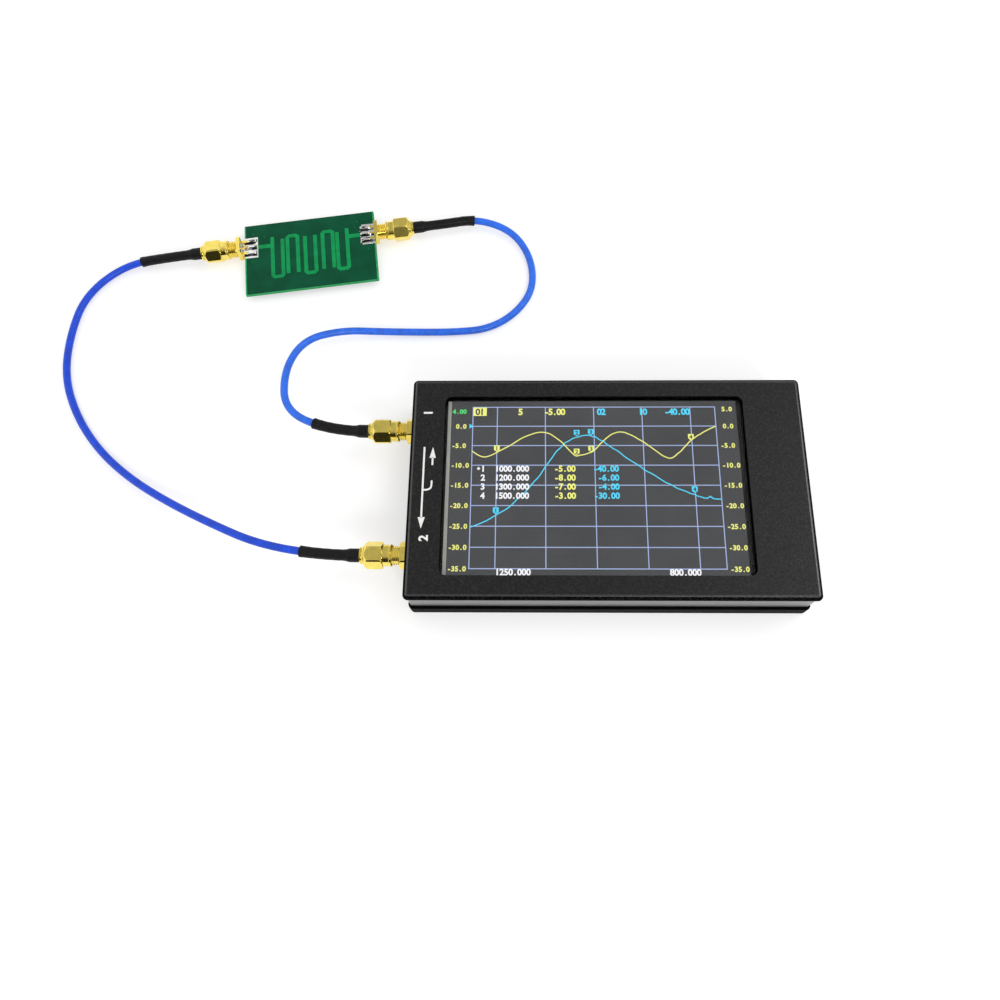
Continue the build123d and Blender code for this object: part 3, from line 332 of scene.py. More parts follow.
def add_piece(
    name, bm, finishes, body, replaced=(), sharp=30.0, edge=0.0, edge_angle=30.0
):
    """Object from a finished bmesh in metres, riding on a body, with broken edges."""
    mesh = bpy.data.meshes.new(name)
    bm.to_mesh(mesh)
    bm.free()
    for finish in finishes:
        mesh.materials.append(finish)
    mesh.shade_smooth()
    mesh.set_sharp_from_angle(angle=radians(sharp))
    piece = link_object(name, mesh)
    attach(piece, body)
    if replaced:
        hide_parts(*replaced)
    if edge:
        break_edges(piece, edge, edge_angle)
    return piece


def break_edges(piece, width, angle):
    """Small bevel on every sharp edge, with flat faces kept flat in the shading."""
    bevel = piece.modifiers.new("broken_edges", "BEVEL")
    bevel.limit_method = "ANGLE"
    bevel.angle_limit = radians(angle)
    bevel.width = width
    bevel.segments = 2
    bevel.profile = 0.5
    bevel.use_clamp_overlap = True
    bevel.harden_normals = False
    keep_faces_flat(piece)


def keep_faces_flat(piece):
    piece.modifiers.new("flat_faces", "WEIGHTED_NORMAL").keep_sharp = True


def merged_node(name):
    """A CAD node's mesh, merged into whole faces."""
    bm = bmesh.new()
    bm.from_mesh(NODES[name].data)
    bmesh.ops.remove_doubles(bm, verts=bm.verts[:], dist=1e-6)
    bmesh.ops.dissolve_limit(
        bm, angle_limit=radians(0.4), verts=bm.verts[:], edges=bm.edges[:], delimit=set()
    )
    return bm


def connector_place(origin, along, turn=0.0):
    """Local Z runs outwards along the connector and local X is up, in millimetres."""
    up = Vector((0, 0, 1))
    place = Matrix((up, along.cross(up), along)).transposed().to_4x4()
    place.translation = origin
    return Matrix.Scale(MM, 4) @ place @ Matrix.Rotation(radians(turn), 4, "Z")


def turn_profile(profile, steps, closed=True, rise=0.0, weld=1e-4):
    """Line of (station, radius) corners, turned about local Z, rising at each step."""
    bm = bmesh.new()
    corners = [bm.verts.new((radius, 0, station)) for station, radius in profile]
    for start, end in zip(corners, corners[1:]):
        bm.edges.new((start, end))
    if closed:
        bm.edges.new((corners[-1], corners[0]))
    bmesh.ops.spin(
        bm, geom=bm.verts[:] + bm.edges[:], cent=(0, 0, 0), axis=(0, 0, 1), dvec=(0, 0, rise),
        angle=2 * pi, steps=steps, use_merge=not rise, use_duplicate=False,
    )
    bmesh.ops.remove_doubles(bm, verts=bm.verts[:], dist=weld)
    if closed:
        bmesh.ops.recalc_face_normals(bm, faces=bm.faces[:])
    return bm


def cut_at(bm, spot, normal, **options):
    """Cuts every face that a plane crosses."""
    everything = bm.verts[:] + bm.edges[:] + bm.faces[:]
    bmesh.ops.bisect_plane(bm, geom=everything, plane_co=spot, plane_no=normal, **options)


def edges_of(ring):
    return list({edge for vertex in ring for edge in vertex.link_edges})


def extrude_ring(bm, edges):
    """New ring's vertices and edges, extruded from the edges of another."""
    grown = bmesh.ops.extrude_edge_only(bm, edges=edges)["geom"]
    ring = [item for item in grown if isinstance(item, bmesh.types.BMVert)]
    edges = [item for item in grown if isinstance(item, bmesh.types.BMEdge)]
    return ring, [edge for edge in edges if all(vertex in ring for vertex in edge.verts)]


def face_up(faces):
    for face in faces:
        if face.normal.z < 0:
            face.normal_flip()


def index_faces(bm, known, index):
    """Gives a finish to the faces that came after the known ones."""
    bm.faces.ensure_lookup_table()
    faces = bm.faces[known:]
    for face in faces:
        face.material_index = index
    return faces


def cut_hexagon(bm, rings):
    """Pulls rings of a turned bar in to a hexagon's flats.

    Each ring is (station, reach): its station at the corners, and how far the cone
    beside it reaches along the axis, negative for the cone on the outward face.
    """
    edge_angle = atan2(sqrt(NUT_CORNER ** 2 - NUT_HALF_FLATS ** 2), NUT_HALF_FLATS)
    for vertex in bm.verts:
        x, y, station = vertex.co
        for ring_station, reach in rings:
            if abs(station - ring_station) > 1e-3 or abs(hypot(x, y) - NUT_CORNER) > 1e-3:
                continue
            angle = atan2(y, x)
            sixth = round(angle / (pi / 3)) * (pi / 3)
            offset = angle - sixth
            if edge_angle < abs(offset) < edge_angle + radians(2.5):
                offset = edge_angle if offset > 0 else -edge_angle
            radius = min(NUT_HALF_FLATS / cos(offset), NUT_CORNER)
            drop = (NUT_CORNER - radius) / (NUT_CORNER - NUT_FACE)
            vertex.co = (
                radius * cos(sixth + offset),
                radius * sin(sixth + offset),
                station - reach * drop,
            )
            break


def moved(bm, place):
    bmesh.ops.transform(bm, matrix=place, verts=bm.verts[:], space=Matrix.Identity(4))
    return bm


def place_in(target, source, place):
    """Moves a finished bmesh into another one."""
    carried = bpy.data.meshes.new("carried")
    moved(source, place).to_mesh(carried)
    source.free()
    target.from_mesh(carried)
    bpy.data.meshes.remove(carried)


def helical_thread(start, end, crest, depth, pitch):
    """Shell of a right-hand thread that fades into its core at both ends."""
    steps, faded = 48, 0.35
    root = crest - depth
    profile = [
        (start + (turn - 1.5 + share) * pitch, crest - depth * (1 - height))
        for turn in range(int((end - start) / pitch) + 3)
        for share, height in ((0.0, 0.0), (0.30, 1.0), (0.42, 1.0), (0.72, 0.0))
    ]
    bm = turn_profile(profile, steps, closed=False, rise=pitch / steps, weld=1e-3)
    for station, side in ((end, 1), (start, -1)):
        cut_at(bm, (0, 0, station), (0, 0, side), clear_outer=True)
    for vertex in bm.verts:
        x, y, station = vertex.co
        radius = hypot(x, y)
        fade = max(0.0, min(1.0, (end - station) / faded, (station - start) / faded))
        wanted = root + (radius - root) * fade
        vertex.co = (x * wanted / radius, y * wanted / radius, station)
    for face in bm.faces:
        centre = face.calc_center_median()
        if face.normal.dot(Vector((centre.x, centre.y, 0))) < 0:
            face.normal_flip()
    return bm


def mesh_of(curve):
    """Mesh of a curve, and the curve is removed."""
    holder = bpy.data.objects.new(curve.name, curve)
    mesh = bpy.data.meshes.new_from_object(holder)
    bpy.data.objects.remove(holder)
    bpy.data.curves.remove(curve)
    return mesh


GLYPHS = {}


def glyph(character):
    """Mesh of one numeral, one unit high, centred on its own width."""
    if character not in GLYPHS:
        curve = bpy.data.curves.new("numeral", "FONT")
        curve.body = character
        curve.align_x = "CENTER"
        curve.resolution_u = 3
        curve.offset = 0.036
        GLYPHS[character] = mesh_of(curve)
    return GLYPHS[character]


def write_numerals(bm, text, start, height, pitch, index, turn=0.0):
    """Numerals of one height in a row; start is the row's left end and middle."""
    size = height / max(vertex.co.y for vertex in glyph("0").vertices)
    for position, character in enumerate(text):
        if character == " ":
            continue
        place = (
            Matrix.Translation(start)
            @ Matrix.Rotation(turn, 4, "Z")
            @ Matrix.Translation(((position + 0.5) * pitch, -height / 2, 0))
            @ Matrix.Scale(size, 4)
        )
        known, faces_known = len(bm.verts), len(bm.faces)
        bm.from_mesh(glyph(character))
        bm.verts.ensure_lookup_table()
        bmesh.ops.transform(bm, matrix=place, verts=bm.verts[known:], space=Matrix.Identity(4))
        face_up(index_faces(bm, faces_known, index))


def add_bar(bm, low, high, height, index):
    """Flat rectangle from one corner to the other."""
    place = Matrix.Translation(((low[0] + high[0]) / 2, (low[1] + high[1]) / 2, height))
    size = Matrix.Diagonal((high[0] - low[0], high[1] - low[1], 1, 1))
    known = len(bm.faces)
    bmesh.ops.create_grid(bm, x_segments=1, y_segments=1, size=0.5, matrix=place @ size)
    index_faces(bm, known, index)


def add_polygon(bm, corners, height, index):
    """Flat face through the corners, seen from above."""
    face = bm.faces.new([bm.verts.new((x, y, height)) for x, y in corners])
    face.material_index = index
    face.normal_update()
    face_up([face])


def add_ribbon(bm, points, width, height, index):
    """Flat line of one width along a smooth curve through the points."""
    curve = bpy.data.curves.new("ribbon", "CURVE")
    curve.dimensions = "3D"
    curve.resolution_u = 8
    curve.bevel_depth = width / 2
    curve.bevel_resolution = 1
    spline = curve.splines.new("BEZIER")
    spline.bezier_points.add(len(points) - 1)
    for knot, (x, y) in zip(spline.bezier_points, points):
        knot.co = (x, y, 0)
        knot.handle_left_type = knot.handle_right_type = "AUTO"
    mesh = mesh_of(curve)
    mesh.transform(Matrix.Translation((0, 0, height)) @ Matrix.Diagonal((1, 1, 0.02, 1)))
    known = len(bm.faces)
    bm.from_mesh(mesh)
    index_faces(bm, known, index)
    bpy.data.meshes.remove(mesh)


def to_metres(bm):
    bmesh.ops.scale(bm, vec=(MM, MM, MM), verts=bm.verts[:])
    return bm


# -------------------------------------------------------------------- stage
LAMPS_AIM = Vector((-0.02, 0.0, 0))
FLOOR_LIFT = 0.46                 # light of its own that lets the floor read white


def build_stage(settings):
    """Camera, lamps, sky and a plain pale floor."""
    scene = bpy.context.scene
    scene.view_settings.view_transform = "Standard"

    camera_data = bpy.data.cameras.new("camera")
    camera_data.sensor_fit = "HORIZONTAL"
    camera_data.sensor_width = 36.0
    camera_data.lens = 32.78624
    camera_data.shift_x = -0.01989
    camera_data.shift_y = -0.06434
    camera_data.clip_start = 0.01
    camera_data.clip_end = 40.0
    camera = link_object("camera", camera_data)
    aim = Matrix((
        (0.99977997, 0.00676562, -0.01985566),
        (0.00115605, 0.92734949, 0.37419459),
        (0.02094479, -0.3741352, 0.92713762),
    )).transposed().to_4x4()
    aim.translation = (-0.0224486, -0.0957288, 0.3009323)
    camera.matrix_world = aim
    scene.camera = camera

    for name, power, spot in (
        ("front_lamp", settings.lamp_power, Vector((0.35, -1.0, 0.9))),
        ("side_lamp", settings.side_lamp_power, Vector((0.57, 0.22, 0.9))),
    ):
        lamp_data = bpy.data.lights.new(name, "AREA")
        lamp_data.shape = "SQUARE"
        lamp_data.size = settings.lamp_size
        lamp_data.energy = power
        turned = (LAMPS_AIM - spot).to_track_quat("-Z", "Y")
        place = Matrix.Translation(spot) @ turned.to_matrix().to_4x4()
        link_object(name, lamp_data).matrix_world = place

    build_sky(scene, settings)
    build_floor(settings)


def build_sky(scene, settings):
    """Even light, white where it is looked at; metal mirrors a bright and a dark side."""
    world = bpy.data.worlds.new("sky")
    scene.world = world
    world.use_nodes = True
    tree = world.node_tree
    tree.nodes.clear()
    rays = new_node(tree, "LightPath", {}).outputs
    place = new_node(tree, "TexCoord", {}).outputs["Generated"]
    side = new_node(tree, "SeparateXYZ", {"Vector": place}).outputs
    # Light by direction: where each side's begins, where it is full, and both levels
    dark_side = map_range(tree, side["Y"], -0.80, -0.42, 0.03, 0.50)
    left_side = map_range(tree, side["X"], -0.22, -0.30, 0.0, 0.55)
    right_side = map_range(tree, side["X"], -0.05, 0.06, 0.0, 0.20)
    not_in_front = map_range(tree, side["Y"], -0.93, -0.90)
    right_light = combine(tree, right_side, not_in_front, "MULTIPLY")
    graded_light = combine(tree, dark_side, combine(tree, left_side, right_light))
    graded, even, white = (
        new_node(tree, "Background", {"Color": (1, 1, 1, 1), "Strength": light}).outputs[0]
        for light in (graded_light, settings.sky_strength, 1.0)
    )
    mirrored = new_node(tree, "MixShader", {0: rays["Is Glossy Ray"], 1: even, 2: graded})
    direct = combine(tree, rays["Is Camera Ray"], rays["Is Transmission Ray"], "MAXIMUM")
    seen = new_node(tree, "MixShader", {0: direct, 1: mirrored.outputs[0], 2: white})
    new_node(tree, "OutputWorld", {"Surface": seen.outputs[0]})


def build_floor(settings):
    """Floor that reads white and keeps the object's shadow."""
    finish = bpy.data.materials.new("floor")
    finish.use_nodes = True
    tree = finish.node_tree
    tree.nodes.clear()
    matt = new_node(tree, "BsdfDiffuse", {"Color": (*settings.floor_colour, 1.0)})
    rays = new_node(tree, "LightPath", {}).outputs
    seen = combine(tree, rays["Is Camera Ray"], rays["Is Glossy Ray"], "MAXIMUM")
    through = combine(tree, seen, rays["Is Transmission Ray"], "MAXIMUM")
    share = combine(tree, through, FLOOR_LIFT, "MULTIPLY")
    lift = new_node(tree, "Emission", {"Color": (1, 1, 1, 1), "Strength": share})
    both = new_node(tree, "AddShader", {0: matt.outputs[0], 1: lift.outputs[0]})
    new_node(tree, "OutputMaterial", {"Surface": both.outputs[0]})

    bm = bmesh.new()
    bmesh.ops.create_grid(bm, x_segments=1, y_segments=1, size=settings.floor_size / 2)
    mesh = bpy.data.meshes.new("floor")
    bm.to_mesh(mesh)
    bm.free()
    mesh.materials.append(finish)
    link_object("floor", mesh)


# -------------------------------------------------------------------- leads
def build_leads(settings):
    """Both coax leads, each one smooth curve of its real length."""
    # The leads share one jacket: the first is painted lighter and the second darker, as painted
    # light and shade.
    colours = (settings.jacket_1_lit_colour, settings.jacket_2_shaded_colour)
    for (name, route), colour in zip(LEAD_ROUTES.items(), colours):
        jacket = textured(
            "blue_jacket_painted_light_" + name[-1], colour, 0.30, Specular_IOR_Level=0.4,
            mottle=({"grain": 3.0, "detail": 2.0}, 0.86, 1.12),
            sheen=(0.8, 0.24, 0.38),
            relief=({"grain": 0.5, "detail": 4.0}, 0.01, 0.5),
        )
        curve = bpy.data.curves.new(name + "_jacket", "CURVE")
        curve.dimensions = "3D"
        curve.resolution_u = 16
        curve.bevel_depth = settings.jacket_radius
        curve.bevel_resolution = 6
        curve.use_fill_caps = True
        spline = curve.splines.new("NURBS")
        spline.points.add(len(route) - 1)
        for point, spot in zip(spline.points, route):
            point.co = (*(part * MM for part in spot), 1.0)
        spline.order_u = 3
        spline.use_endpoint_u = True
        curve.materials.append(jacket)
        lead = link_object(name + "_jacket", curve)
        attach(lead, "case")
        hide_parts(name)


def lead_line(name):
    """Points along a lead's own curve, in metres, from its port."""
    curve = bpy.data.objects[name + "_jacket"].data.copy()
    curve.bevel_depth = 0.0
    curve.use_fill_caps = False
    curve.resolution_u = 24
    mesh = mesh_of(curve)
    points = [vertex.co.copy() for vertex in mesh.vertices]
    bpy.data.meshes.remove(mesh)
    return points


def frames_along(points, stations):
    """Square frames at distances along a line, each turned as little as possible."""
    steps = [0.0]
    for start, end in zip(points, points[1:]):
        steps.append(steps[-1] + (end - start).length)
    frames = []
    across = Vector((0, 0, 1))
    for station in stations:
        run = max(i for i in range(len(points) - 1) if steps[i] <= station or i == 0)
        start, end = points[run], points[run + 1]
        before, after = points[max(run - 1, 0)], points[min(run + 2, len(points) - 1)]
        share = (station - steps[run]) / (steps[run + 1] - steps[run])
        along = (end - before).normalized().lerp((after - start).normalized(), share)
        along.normalize()
        across = (across - along * across.dot(along)).normalized()
        turned = Matrix((across, along.cross(across), along)).transposed().to_4x4()
        turned.translation = start.lerp(end, share)
        frames.append(turned)
    return frames


def sleeve_profile(end, phase):
    """Corners (station, radius) of a sleeve: out over its ferrule, and back inside."""
    start = SLEEVE_START
    outer = [(start, 2.10), (0.55, 2.22)]
    outer += [(0.9 + 0.6 * step, 2.25 - 0.02 * (step % 2)) for step in range(5)]
    outer += [(3.7, 2.24), (4.1, 2.19), (4.5, 2.08), (5.0, 1.96), (5.6, 1.88)]
    first, last, count = 6.3, end - 0.7, 14
    for step in range(count):
        station = first + (last - first) * step / (count - 1)
        wave = 0.03 * sin(station * 1.9 + phase)
        lip = 0.10 * exp(-(((station - end) / 2.2) ** 2))
        outer.append((station, 1.83 + wave + lip))
    outer += [(end - 0.25, 1.95), (end - 0.06, 1.92), (end, 1.82)]
    return outer + [(end, 1.44), (end - 0.4, 1.38), (5.4, 1.38), (4.15, 1.80), (start, 1.80)]


def add_sleeve(profile, points):
    """Closed skin of a sleeve's profile, carried along a line."""
    frames = frames_along(points, [station * MM for station, _ in profile])
    bm = bmesh.new()
    ring = bmesh.ops.create_circle(
        bm, cap_ends=False, segments=40, radius=profile[0][1] * MM, matrix=frames[0]
    )["verts"]
    first_edges = edges = edges_of(ring)
    for index in range(1, len(profile)):
        ring, edges = extrude_ring(bm, edges)
        ratio = profile[index][1] / profile[index - 1][1]
        move = frames[index] @ Matrix.Scale(ratio, 4) @ frames[index - 1].inverted()
        bmesh.ops.transform(bm, matrix=move, verts=ring, space=Matrix.Identity(4))
    bmesh.ops.bridge_loops(bm, edges=first_edges + edges)
    bmesh.ops.recalc_face_normals(bm, faces=bm.faces[:])
    return bm


def build_sleeves(settings):
    """Heat-shrunk sleeves that follow their leads, snug over each ferrule."""
    black = textured(
        "shrink_sleeve", settings.sleeve_colour, 0.42, Specular_IOR_Level=0.16,
        mottle=(1.2, 0.75, 1.5),
        sheen=({"grain": 1.6, "detail": 2.0}, 0.32, 0.55),
        relief=({"grain": 1.4, "stretch": (1.5, 1, 1)}, 0.05, 0.45),
    )
    for lead, ends in LEAD_ENDS.items():
        line = lead_line(lead)
        for number, (connector, points) in enumerate(zip(ends, (line, line[::-1]))):
            end = SLEEVE_START + settings.sleeve_length / MM
            if connector.startswith("filter"):
                end += settings.board_sleeve_extra / MM
            profile = sleeve_profile(end, number * 2.1 + len(connector))
            add_piece(
                connector + "_shrink_sleeve", add_sleeve(profile, points), [black], "case",
                [connector + "_sleeve"], sharp=50.0,
            )


# --------------------------------------------------------------- connectors
def gold_finish(settings):
    return bpy.data.materials.get("gold_plating") or textured(
        "gold_plating", settings.gold_colour, 0.10, 1.0,
        mottle=(2.2, 0.92, 1.05),
        sheen=({"grain": 0.7, "detail": 4.0}, 0.04, 0.11),
        relief=({"grain": 0.35, "detail": 2.0}, 0.003, 0.2),
    )


def add_gold_piece(settings, name, bm, node, sharp, body="case"):
    """Gilded piece of the connectors, broken at the edges that are shaded as sharp."""
    add_piece(
        name, bm, [gold_finish(settings)], body, [node], sharp=sharp,
        edge=settings.edge_break, edge_angle=sharp,
    )


def build_coupling_nuts(settings):
    """Hexagon coupling nuts with a rimmed collar in front."""
    outline = [
        (-4.7, NUT_BORE), (-4.7, 3.40), (-4.4, 3.70), (-3.95, 3.70), (-3.77, 3.52), (-1.8, 3.52),
        (-1.8, NUT_FACE), (-1.4, NUT_CORNER), (3.3, NUT_CORNER), (4.2, NUT_FACE),
        (4.2, NUT_BORE), (2.2, NUT_BORE), (2.2, NUT_CAVITY), (1.4, NUT_CAVITY), (1.4, NUT_BORE),
    ]
    for connector, (origin, along, clock) in CONNECTORS.items():
        nut = turn_profile(outline, settings.turning_steps)
        cut_hexagon(nut, [(-1.4, 0.4), (3.3, -0.9)])
        nut = moved(nut, connector_place(origin, along, clock))
        add_gold_piece(
            settings, connector + "_hexagon_nut", nut, connector + "_coupling_nut", 14.0,
            body=connector + "_nut",
        )


def build_plug_bodies(settings):
    """Plug bodies behind the coupling nuts, with their rear groove and ferrule."""
    outline = [
        (-1.9, 2.05), (5.0, 2.05), (5.0, 1.40), (9.5, 1.40), (9.5, 1.75), (5.8, 1.75),
        (5.8, 2.80), (5.3, 2.80), (5.3, 2.40), (5.0, 2.40), (5.0, 2.80), (4.6, 3.15),
        (2.2, 3.15), (2.2, 2.63), (1.4, 2.63), (1.4, 3.15), (0.4, 3.15), (0.4, 2.30),
        (-1.9, 2.30),
    ]
    for connector, (origin, along, _) in CONNECTORS.items():
        plug = moved(turn_profile(outline, settings.turning_steps), connector_place(origin, along))
        add_gold_piece(
            settings, connector + "_turned_plug", plug, connector + "_plug_body", 20.0
        )


def build_jacks(settings):
    """Jacks with a real helical thread on their barrels."""
    finishes = [gold_finish(settings), tin_finish()]
    pitch, depth = settings.thread_pitch / MM, settings.thread_depth / MM
    slack, beyond, bore = 0.02, 0.05, 2.6
    core = THREAD_RADIUS - depth - slack
    for connector, (origin, along, _) in CONNECTORS.items():
        thread_end = THREAD_ENDS[connector]
        place = connector_place(origin, along)
        to_local = place.inverted()
        bm = merged_node(connector + "_jack")
        for vertex in bm.verts:
            spot = to_local @ vertex.co
            radius = hypot(spot.x, spot.y)
            on_barrel = thread_end - beyond < spot.z < beyond
            if on_barrel and bore < radius < THREAD_RADIUS + slack:
                spot.x *= core / radius
                spot.y *= core / radius
                vertex.co = place @ spot
        place_in(bm, helical_thread(thread_end, -slack, THREAD_RADIUS, depth, pitch), place)
        if connector in LEG_TINNED:
            tinned = LEG_TINNED[connector]
            cut_at(bm, place @ Vector((0, 0, tinned)), along)
            for face in bm.faces:
                station = (to_local @ face.calc_center_median()).z
                face.material_index = 1 if station < tinned else 0
        add_piece(
            connector + "_threaded_jack", bm, finishes, "case", [connector + "_jack"],
            sharp=32.0, edge=settings.edge_break, edge_angle=50.0,
        )


def build_bulkhead_nuts(settings):
    """Thin nuts and washers that hold the port jacks in the case wall."""
    nut_outline = [
        (-9.8, NUT_BORE), (-9.8, NUT_CORNER), (-7.5, NUT_CORNER), (-7.1, NUT_FACE),
        (-7.1, NUT_BORE),
    ]
    washer_outline = [(-10.3, NUT_BORE), (-9.8, NUT_BORE), (-9.8, 4.4), (-10.3, 4.4)]
    nuts, washers = bmesh.new(), bmesh.new()
    for connector, turn in (("port_1", -5.0), ("port_2", -10.0)):
        origin, along, _ = CONNECTORS[connector]
        nut = turn_profile(nut_outline, settings.turning_steps)
        cut_hexagon(nut, [(-9.8, 0.0), (-7.5, -0.4)])
        place_in(nuts, nut, connector_place(origin, along, turn))
        washer = turn_profile(washer_outline, settings.turning_steps)
        place_in(washers, washer, connector_place(origin, along))
    add_gold_piece(settings, "bulkhead_nuts", nuts, "port_nuts", 14.0)
    add_gold_piece(settings, "bulkhead_washers", washers, "port_washers", 14.0)


# --------------------------------------------------------------------- case
def paint_finish(settings, name, rough, shine, depth=1.0, coat=0.0, coat_rough=0.03):
    """Grainy black paint: its roughness, specular level, lightness and clear coat. Copies with a
    lower lightness or level, or an added coat, paint shade, reflections and highlights on the
    case.
    """
    grain = settings.grain_size / MM
    return textured(
        name, settings.paint_colour, rough, Specular_IOR_Level=shine, Coat_Weight=coat,
        Coat_Roughness=coat_rough,
        # a depth below one darkens the paint's colour as painted shade
        mottle=({"grain": grain * 2.0, "detail": 2.0}, 0.25 * depth, 4.5 * depth, (0.45, 0.72)),
        sheen=({"grain": grain * 2.4, "detail": 2.0}, rough - 0.09, rough + 0.09),
        relief=({"grain": grain * 1.8, "detail": 2.0}, 0.05, 1.0),
    )


def build_case(settings):
    """Painted shells with broken edges, made from copies of one paint that paint light: glossier
    walls whose clear coat is a painted brighter reflection, a dull brim that is painted shade, a
    glossy rounded edge that is a painted highlight line, and a dull cover that is painted shade.
    """
    # Copies of one paint: the walls' coat paints a reflection, the dull brim paints shade, and the
    # glossy edge paints a highlight.
    finishes = [
        paint_finish(settings, "case_paint", 0.38, 0.34),
        paint_finish(settings, "wall_paint_painted_reflection", 0.38, 0.5, coat=settings.wall_reflection_coat, coat_rough=0.3),
        paint_finish(settings, "brim_paint_painted_shade", 0.5, 0.01),
        paint_finish(settings, "edge_paint_painted_highlight", 0.3, 0.5, coat=1.0, coat_rough=0.2),
    ]
    top, wall, brim, edge = range(4)
    # How much the normals of the brim and of the rounded edge above it rise at most
    brim_rise, edge_rise = 0.93, 0.998
    shell = merged_node("top_shell")
    for face in shell.faces:
        rise = abs(face.normal.z)
        if face.calc_center_median().z / MM <= CASE_TOP - BRIM_HEIGHT:
            face.material_index = wall if rise < UPRIGHT else top
        elif rise < edge_rise:
            face.material_index = brim if rise < brim_rise else edge
    add_piece(
        "painted_top_shell", shell, finishes, "case", ["top_shell"],
        edge=settings.edge_break,
    )
    # Darker, duller copy of the paint: painted shade along the bottom of the case.
    cover = paint_finish(settings, "cover_paint_painted_shade", 0.5, 0.012, depth=0.3)
    add_piece(
        "painted_bottom_cover", merged_node("bottom_cover"), [cover], "case",
        ["bottom_cover"], edge=settings.edge_break,
    )


def build_marks(settings):
    """Numerals beside the ports, and arrows for the signal's way through."""
    ink = textured("mark_ink", settings.mark_colour, 0.55, mottle=(0.5, 0.9, 1.1))
    bm = bmesh.new()
    for numeral, x, y in (("1", -59.55, 23.8), ("2", -59.25, -19.4)):
        write_numerals(bm, numeral, Vector((x, y, MARK_HEIGHT)), 2.9, 2.6, 0, turn=pi / 2)
    add_bar(bm, (-60.42, -11.4), (-59.82, 12.84), MARK_HEIGHT, 0)
    add_polygon(bm, [(-61.25, -11.2), (-58.95, -11.2), (-60.1, -15.0)], MARK_HEIGHT, 0)
    branch = [(-60.2, -1.95), (-58.7, -1.95), (-57.6, -1.35), (-57.3, -0.1), (-57.3, 1.2)]
    add_ribbon(bm, branch, 0.6, MARK_HEIGHT, 0)
    add_bar(bm, (-57.6, 6.5), (-57.0, 9.2), MARK_HEIGHT, 0)
    add_polygon(bm, [(-58.35, 9.0), (-56.25, 9.0), (-57.3, 12.84)], MARK_HEIGHT, 0)
    add_piece("case_marks", to_metres(bm), [ink], "case")


def build_case_screws():
    """Countersunk case screws with a hexagon socket."""
    steel = textured("blackened_steel", (0.03, 0.03, 0.032), 0.35, 0.85, sheen=(0.6, 0.25, 0.5))
    inside = 1.3
    outline = [
        (SCREW_SUNK, inside), (SCREW_SUNK, 2.2), (1.05, 1.25), (13.0, 1.25), (13.0, 0.0),
    ]
    bm = bmesh.new()
    for x, y in SCREW_SPOTS:
        screw = turn_profile(outline, 48, closed=False)
        on_rim = {
            vertex
            for vertex in screw.verts
            if abs(vertex.co.z - SCREW_SUNK) < 1e-3
            and hypot(vertex.co.x, vertex.co.y) < inside + 0.01
        }
        rim = [edge for edge in screw.edges if on_rim.issuperset(edge.verts)]
        socket = bmesh.ops.create_circle(
            screw, cap_ends=False, segments=6, radius=0.86,
            matrix=Matrix.Translation((0, 0, SCREW_SUNK)),
        )["verts"]
        socket_edges = edges_of(socket)
        bmesh.ops.bridge_loops(screw, edges=rim + socket_edges)
        floor, _ = extrude_ring(screw, socket_edges)
        bmesh.ops.translate(screw, verts=floor, vec=(0, 0, 1.1))
        bmesh.ops.contextual_create(screw, geom=floor)
        bmesh.ops.recalc_face_normals(screw, faces=screw.faces[:])
        place_in(bm, screw, Matrix.Translation((x, y, 0)))
    add_piece(
        "socket_screws", to_metres(bm), [steel], "case", ["cover_screws"],
        edge=0.00006,
    )


# ------------------------------------------------------------------- screen
PLOT_LEFT, PLOT_RIGHT = -44.6, 36.45
PLOT_TOP, PLOT_BOTTOM = 28.05, -27.4
PLOT_ROWS = 8
PLOT_COLUMNS = (-36.4, -20.3, -4.1, 12.05, 28.15)
FIRST_CURVE = [
    (-44.6, 12.2), (-40.0, 10.2), (-33.0, 13.7), (-26.5, 17.6), (-20.6, 18.9), (-15.5, 15.9),
    (-11.0, 11.0), (-9.0, 10.7), (-4.7, 12.1), (-1.6, 15.3), (2.0, 18.3), (6.0, 18.8),
    (12.0, 15.5), (19.6, 9.9), (23.4, 11.4), (28.0, 16.1), (33.0, 19.4), (36.4, 21.05),
]
SECOND_CURVE = [
    (-44.5, -13.8), (-38.9, -11.4), (-33.0, -7.7), (-27.3, -2.3), (-22.3, 3.7), (-17.2, 11.3),
    (-13.0, 15.6), (-8.3, 17.6), (-4.6, 17.5), (0.0, 14.7), (10.3, 7.0), (20.6, 0.3),
    (27.8, -2.9), (31.4, -4.1), (32.8, -3.6), (34.0, -4.3), (36.4, -4.4),
]
FIRST_MARKERS = (("1", -36.4, 13.2), ("2", -10.0, 12.0), ("3", -5.2, 13.0), ("4", 27.9, 17.2))
SECOND_MARKERS = (("1", -36.4, -8.3), ("2", -9.9, 18.7), ("3", -5.2, 19.0), ("4", 28.0, -1.1))
TABLE_ROWS = (
    ("1", "1000.000", "-5.00", "-40.00", 6.1),
    ("2", "1200.000", "-8.00", " -6.00", 3.0),
    ("3", "1300.000", "-7.00", " -4.00", -0.1),
    ("4", "1500.000", "-3.00", "-30.00", -3.2),
)
FOOT = (("1250.000", -36.3), ("800.000", 18.5))
GRID, FIRST, SECOND, WHITE, GREEN, DARK = range(6)
HEADER = (
    ("5", -29.3, FIRST), ("-5.00", -20.6, FIRST),
    ("02", -2.9, SECOND), ("10", 11.0, SECOND), ("-40.00", 19.7, SECOND),
)


